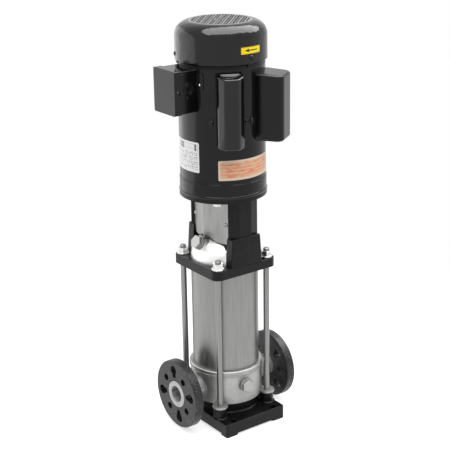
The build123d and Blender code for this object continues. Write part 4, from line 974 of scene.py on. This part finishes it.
def start_cover():
    """The near capacitor's drawn cover. Its section is carried up the motor's wall: at each height
    it is drawn in towards its middle by the fillet less the fillet's root, and its sloped top is
    pressed in within a flat rim to an oval bowl, as deep as bowl_depth times one less the square
    of the share of its half sizes. From the lower rim up, each point falls with its way outwards
    by the slope."""
    half_width, fillet = 25, 3.5
    slope, bowl_depth, direction = 0.18, 6.4, np.radians(243.6)
    low, high = (corner[2] for corner in box_of("start_capacitor_cover"))
    section = rounded(
        [(-half_width, 78, 0), (-half_width, 101, 4), (-12.5, 116.8, 5), (0, 118, 6)]
        + [(12.5, 116.8, 5), (half_width, 101, 4), (half_width, 78, 0)],
        6,
    )
    middle = np.array([0.0, 97.0])
    turn = np.linspace(0, np.pi / 2, 7)
    side = 1 - fillet / half_width * (1 - np.sin(turn))
    foot = low + fillet * (1 - np.cos(turn))
    share = np.concatenate([[0, 0.5], side, [1.0, 1.0, 1.0], side[::-1]])
    wall = np.linspace(low, high, 5)[1:4]
    level = np.concatenate([[low, low], foot, wall, (high + low - foot)[::-1]])
    spots = middle + share[None, :, None] * (section[:, None] - middle)
    bowl, half = np.array([0.0, 98.0]), np.array([23.0, 15.8])
    round_of = np.arctan2(section[:, 1] - bowl[1], section[:, 0] - bowl[0])[:, None, None]
    oval = np.concatenate([np.cos(round_of), np.sin(round_of)], -1)
    bowl_share = np.array([1.0, 0.97, 0.9, 0.8, 0.7, 0.6, 0.5, 0.35, 0.2, 0.0])
    spots = np.concatenate([spots, bowl + bowl_share[None, :, None] * half * oval], 1)
    level = np.concatenate([level, high - bowl_depth * (1 - bowl_share**2)])
    sloped = np.arange(level.size) > 10
    fall = slope * (spots[..., 1] - frame_wall) * sloped
    out = (np.cos(direction), np.sin(direction))
    across = (-out[1], out[0])
    return np.stack(
        [
            spots[..., 0] * across[0] + spots[..., 1] * out[0],
            spots[..., 0] * across[1] + spots[..., 1] * out[1],
            level[None] - fall,
        ],
        -1,
    )


replaced = ("start_capacitor_cover",)
skin("start_cover_drawn", [start_cover()], cover_gloss, "pump", replaced, 40.0)


def stool_block(side):
    """The cast block at a stool corner: its section across the shaft is carried up with a draft,
    drawn in by the half turn of an edge round at the top, and closed with a level ledge."""
    plate_top, half_width, inner, outer = 18.6, 37.2, 56, 75
    foot = box_of("motor_stool")[0][2] + plate_top
    turn = np.linspace(0, np.pi / 2, 6)
    rise = np.concatenate([[0, 20, 40], 54.6 + 2 * np.sin(turn), [56.6, 56.6]])
    inset = np.concatenate([3.5 * rise[:3] / 56, 3.4 + 2 * (1 - np.cos(turn)), [12, 30]])
    section = rounded(
        [(-half_width, inner, 0), (-half_width, outer, 2.5)]
        + [(half_width, outer, 2.5), (half_width, inner, 0)],
        6,
    )
    middle, reach = np.array([0.0, inner]), np.array([half_width, outer - inner])
    spots = middle + (1 - np.minimum(inset[None, :, None] * (1, 0.35) / reach, 1)) * (
        section[:, None] - middle
    )
    height = foot + rise[None] + 0 * spots[..., 0]
    return np.stack([spots[..., 0], side * spots[..., 1], height], -1)


blocks = [stool_block(side) for side in (-1, 1)]
skin("stool_blocks", blocks, cast_iron, "pump", (), 40.0)

# Studio: pale floor and plain white surroundings, for the camera and for reflections alike

WHITE = (1, 1, 1, 1)


def studio_floor(reach, material):
    """A round flat sheet at the object's feet: at the angle t its rim is (reach cos t, reach sin t,
    0), in metres."""
    turn = np.radians(np.arange(0, 360, 3))
    corners = np.stack([reach * np.cos(turn), reach * np.sin(turn), 0 * turn], -1).tolist()
    mesh = bpy.data.meshes.new("floor")
    mesh.from_pydata(corners, [], [tuple(range(len(corners)))])
    mesh.materials.append(material)
    sheet = bpy.data.objects.new("floor", mesh)
    bpy.context.scene.collection.objects.link(sheet)


def floor_paper():
    """Matt studio paper that the camera, metal and glass see as white, with the object's shadow
    kept: to such rays the paper adds a plain white light to its own shade."""
    material = bpy.data.materials.new("matt_studio_paper")
    material.use_nodes = True
    tree = material.node_tree
    tree.nodes.clear()
    paper = add_node(tree, "ShaderNodeBsdfDiffuse", {"Color": linear("#f4f4f4")})
    light = add_node(tree, "ShaderNodeEmission", {"Color": WHITE, "Strength": 0.6})
    both = add_node(tree, "ShaderNodeAddShader", links={0: paper.outputs[0], 1: light.outputs[0]})
    mix = add_node(
        tree,
        "ShaderNodeMixShader",
        links={0: plainly_seen(tree), 1: paper.outputs[0], 2: both.outputs[0]},
    )
    add_node(tree, "ShaderNodeOutputMaterial", links={"Surface": mix.outputs[0]})
    return material


studio_floor(0.95, floor_paper())


def lamp(name, place, aim, size, power, shape="RECTANGLE", glossy=True, diffuse=True, turn=0.0):
    """A soft flat lamp at a place in metres that faces its aim. Its first size runs along the
    picture's own level, or is turned from it by these degrees. Glossy and diffuse say which
    reflections it lights."""
    data = bpy.data.lights.new(name, "AREA")
    data.shape = shape
    data.size, data.size_y = size
    data.energy = power
    light = bpy.data.objects.new(name, data)
    away = np.array(place, float) - np.array(aim, float)
    away /= np.linalg.norm(away)
    level = level_right * np.cos(np.radians(turn)) + level_back * np.sin(np.radians(turn))
    side = level - np.dot(level, away) * away
    side /= np.linalg.norm(side)
    top = np.cross(away, side)
    light.matrix_world = Matrix(
        [[side[i], top[i], away[i], place[i]] for i in range(3)] + [[0, 0, 0, 1]]
    )
    light.visible_glossy = glossy
    light.visible_diffuse = diffuse
    light.visible_camera = False
    bpy.context.scene.collection.objects.link(light)


def seen_from(turn, distance, height):
    """A place round the shaft: turn is the angle to the right of the camera's own direction."""
    angle = np.radians(CAMERA_BEARING + turn)
    return (distance * np.cos(angle), distance * np.sin(angle), height)


CAMERA_BEARING = 234  # where the camera stands, in degrees from X
lamp("left_box", seen_from(-110, 1.2, 0.75), (0, 0, 0.75), (2.5, 1.5), 9.3, "ELLIPSE")
lamp("top_soft", seen_from(20, 1.0, 2.0), (0, 0, 0.4), (1.6, 0.8), 16, glossy=False)
lamp("right_box", seen_from(105, 1.9, 0.9), (0, 0, 0.45), (0.7, 1.8), 10, glossy=False)
above = seen_from(90, 0.36, 2.2)
lamp("overhead_box", above, (0, 0, 0.75), (3.9, 1.7), 110, "ELLIPSE", diffuse=False, turn=-35)

world = bpy.data.worlds.new("studio_room")
bpy.context.scene.world = world
world.use_nodes = True
room = world.node_tree
room.nodes.clear()
soft_room = add_node(room, "ShaderNodeBackground", {"Color": WHITE, "Strength": 0.45})
white_room = add_node(room, "ShaderNodeBackground", {"Color": WHITE, "Strength": 1.0})
mix = add_node(
    room,
    "ShaderNodeMixShader",
    links={0: plainly_seen(room), 1: soft_room.outputs[0], 2: white_room.outputs[0]},
)
add_node(room, "ShaderNodeOutputWorld", links={"Surface": mix.outputs[0]})
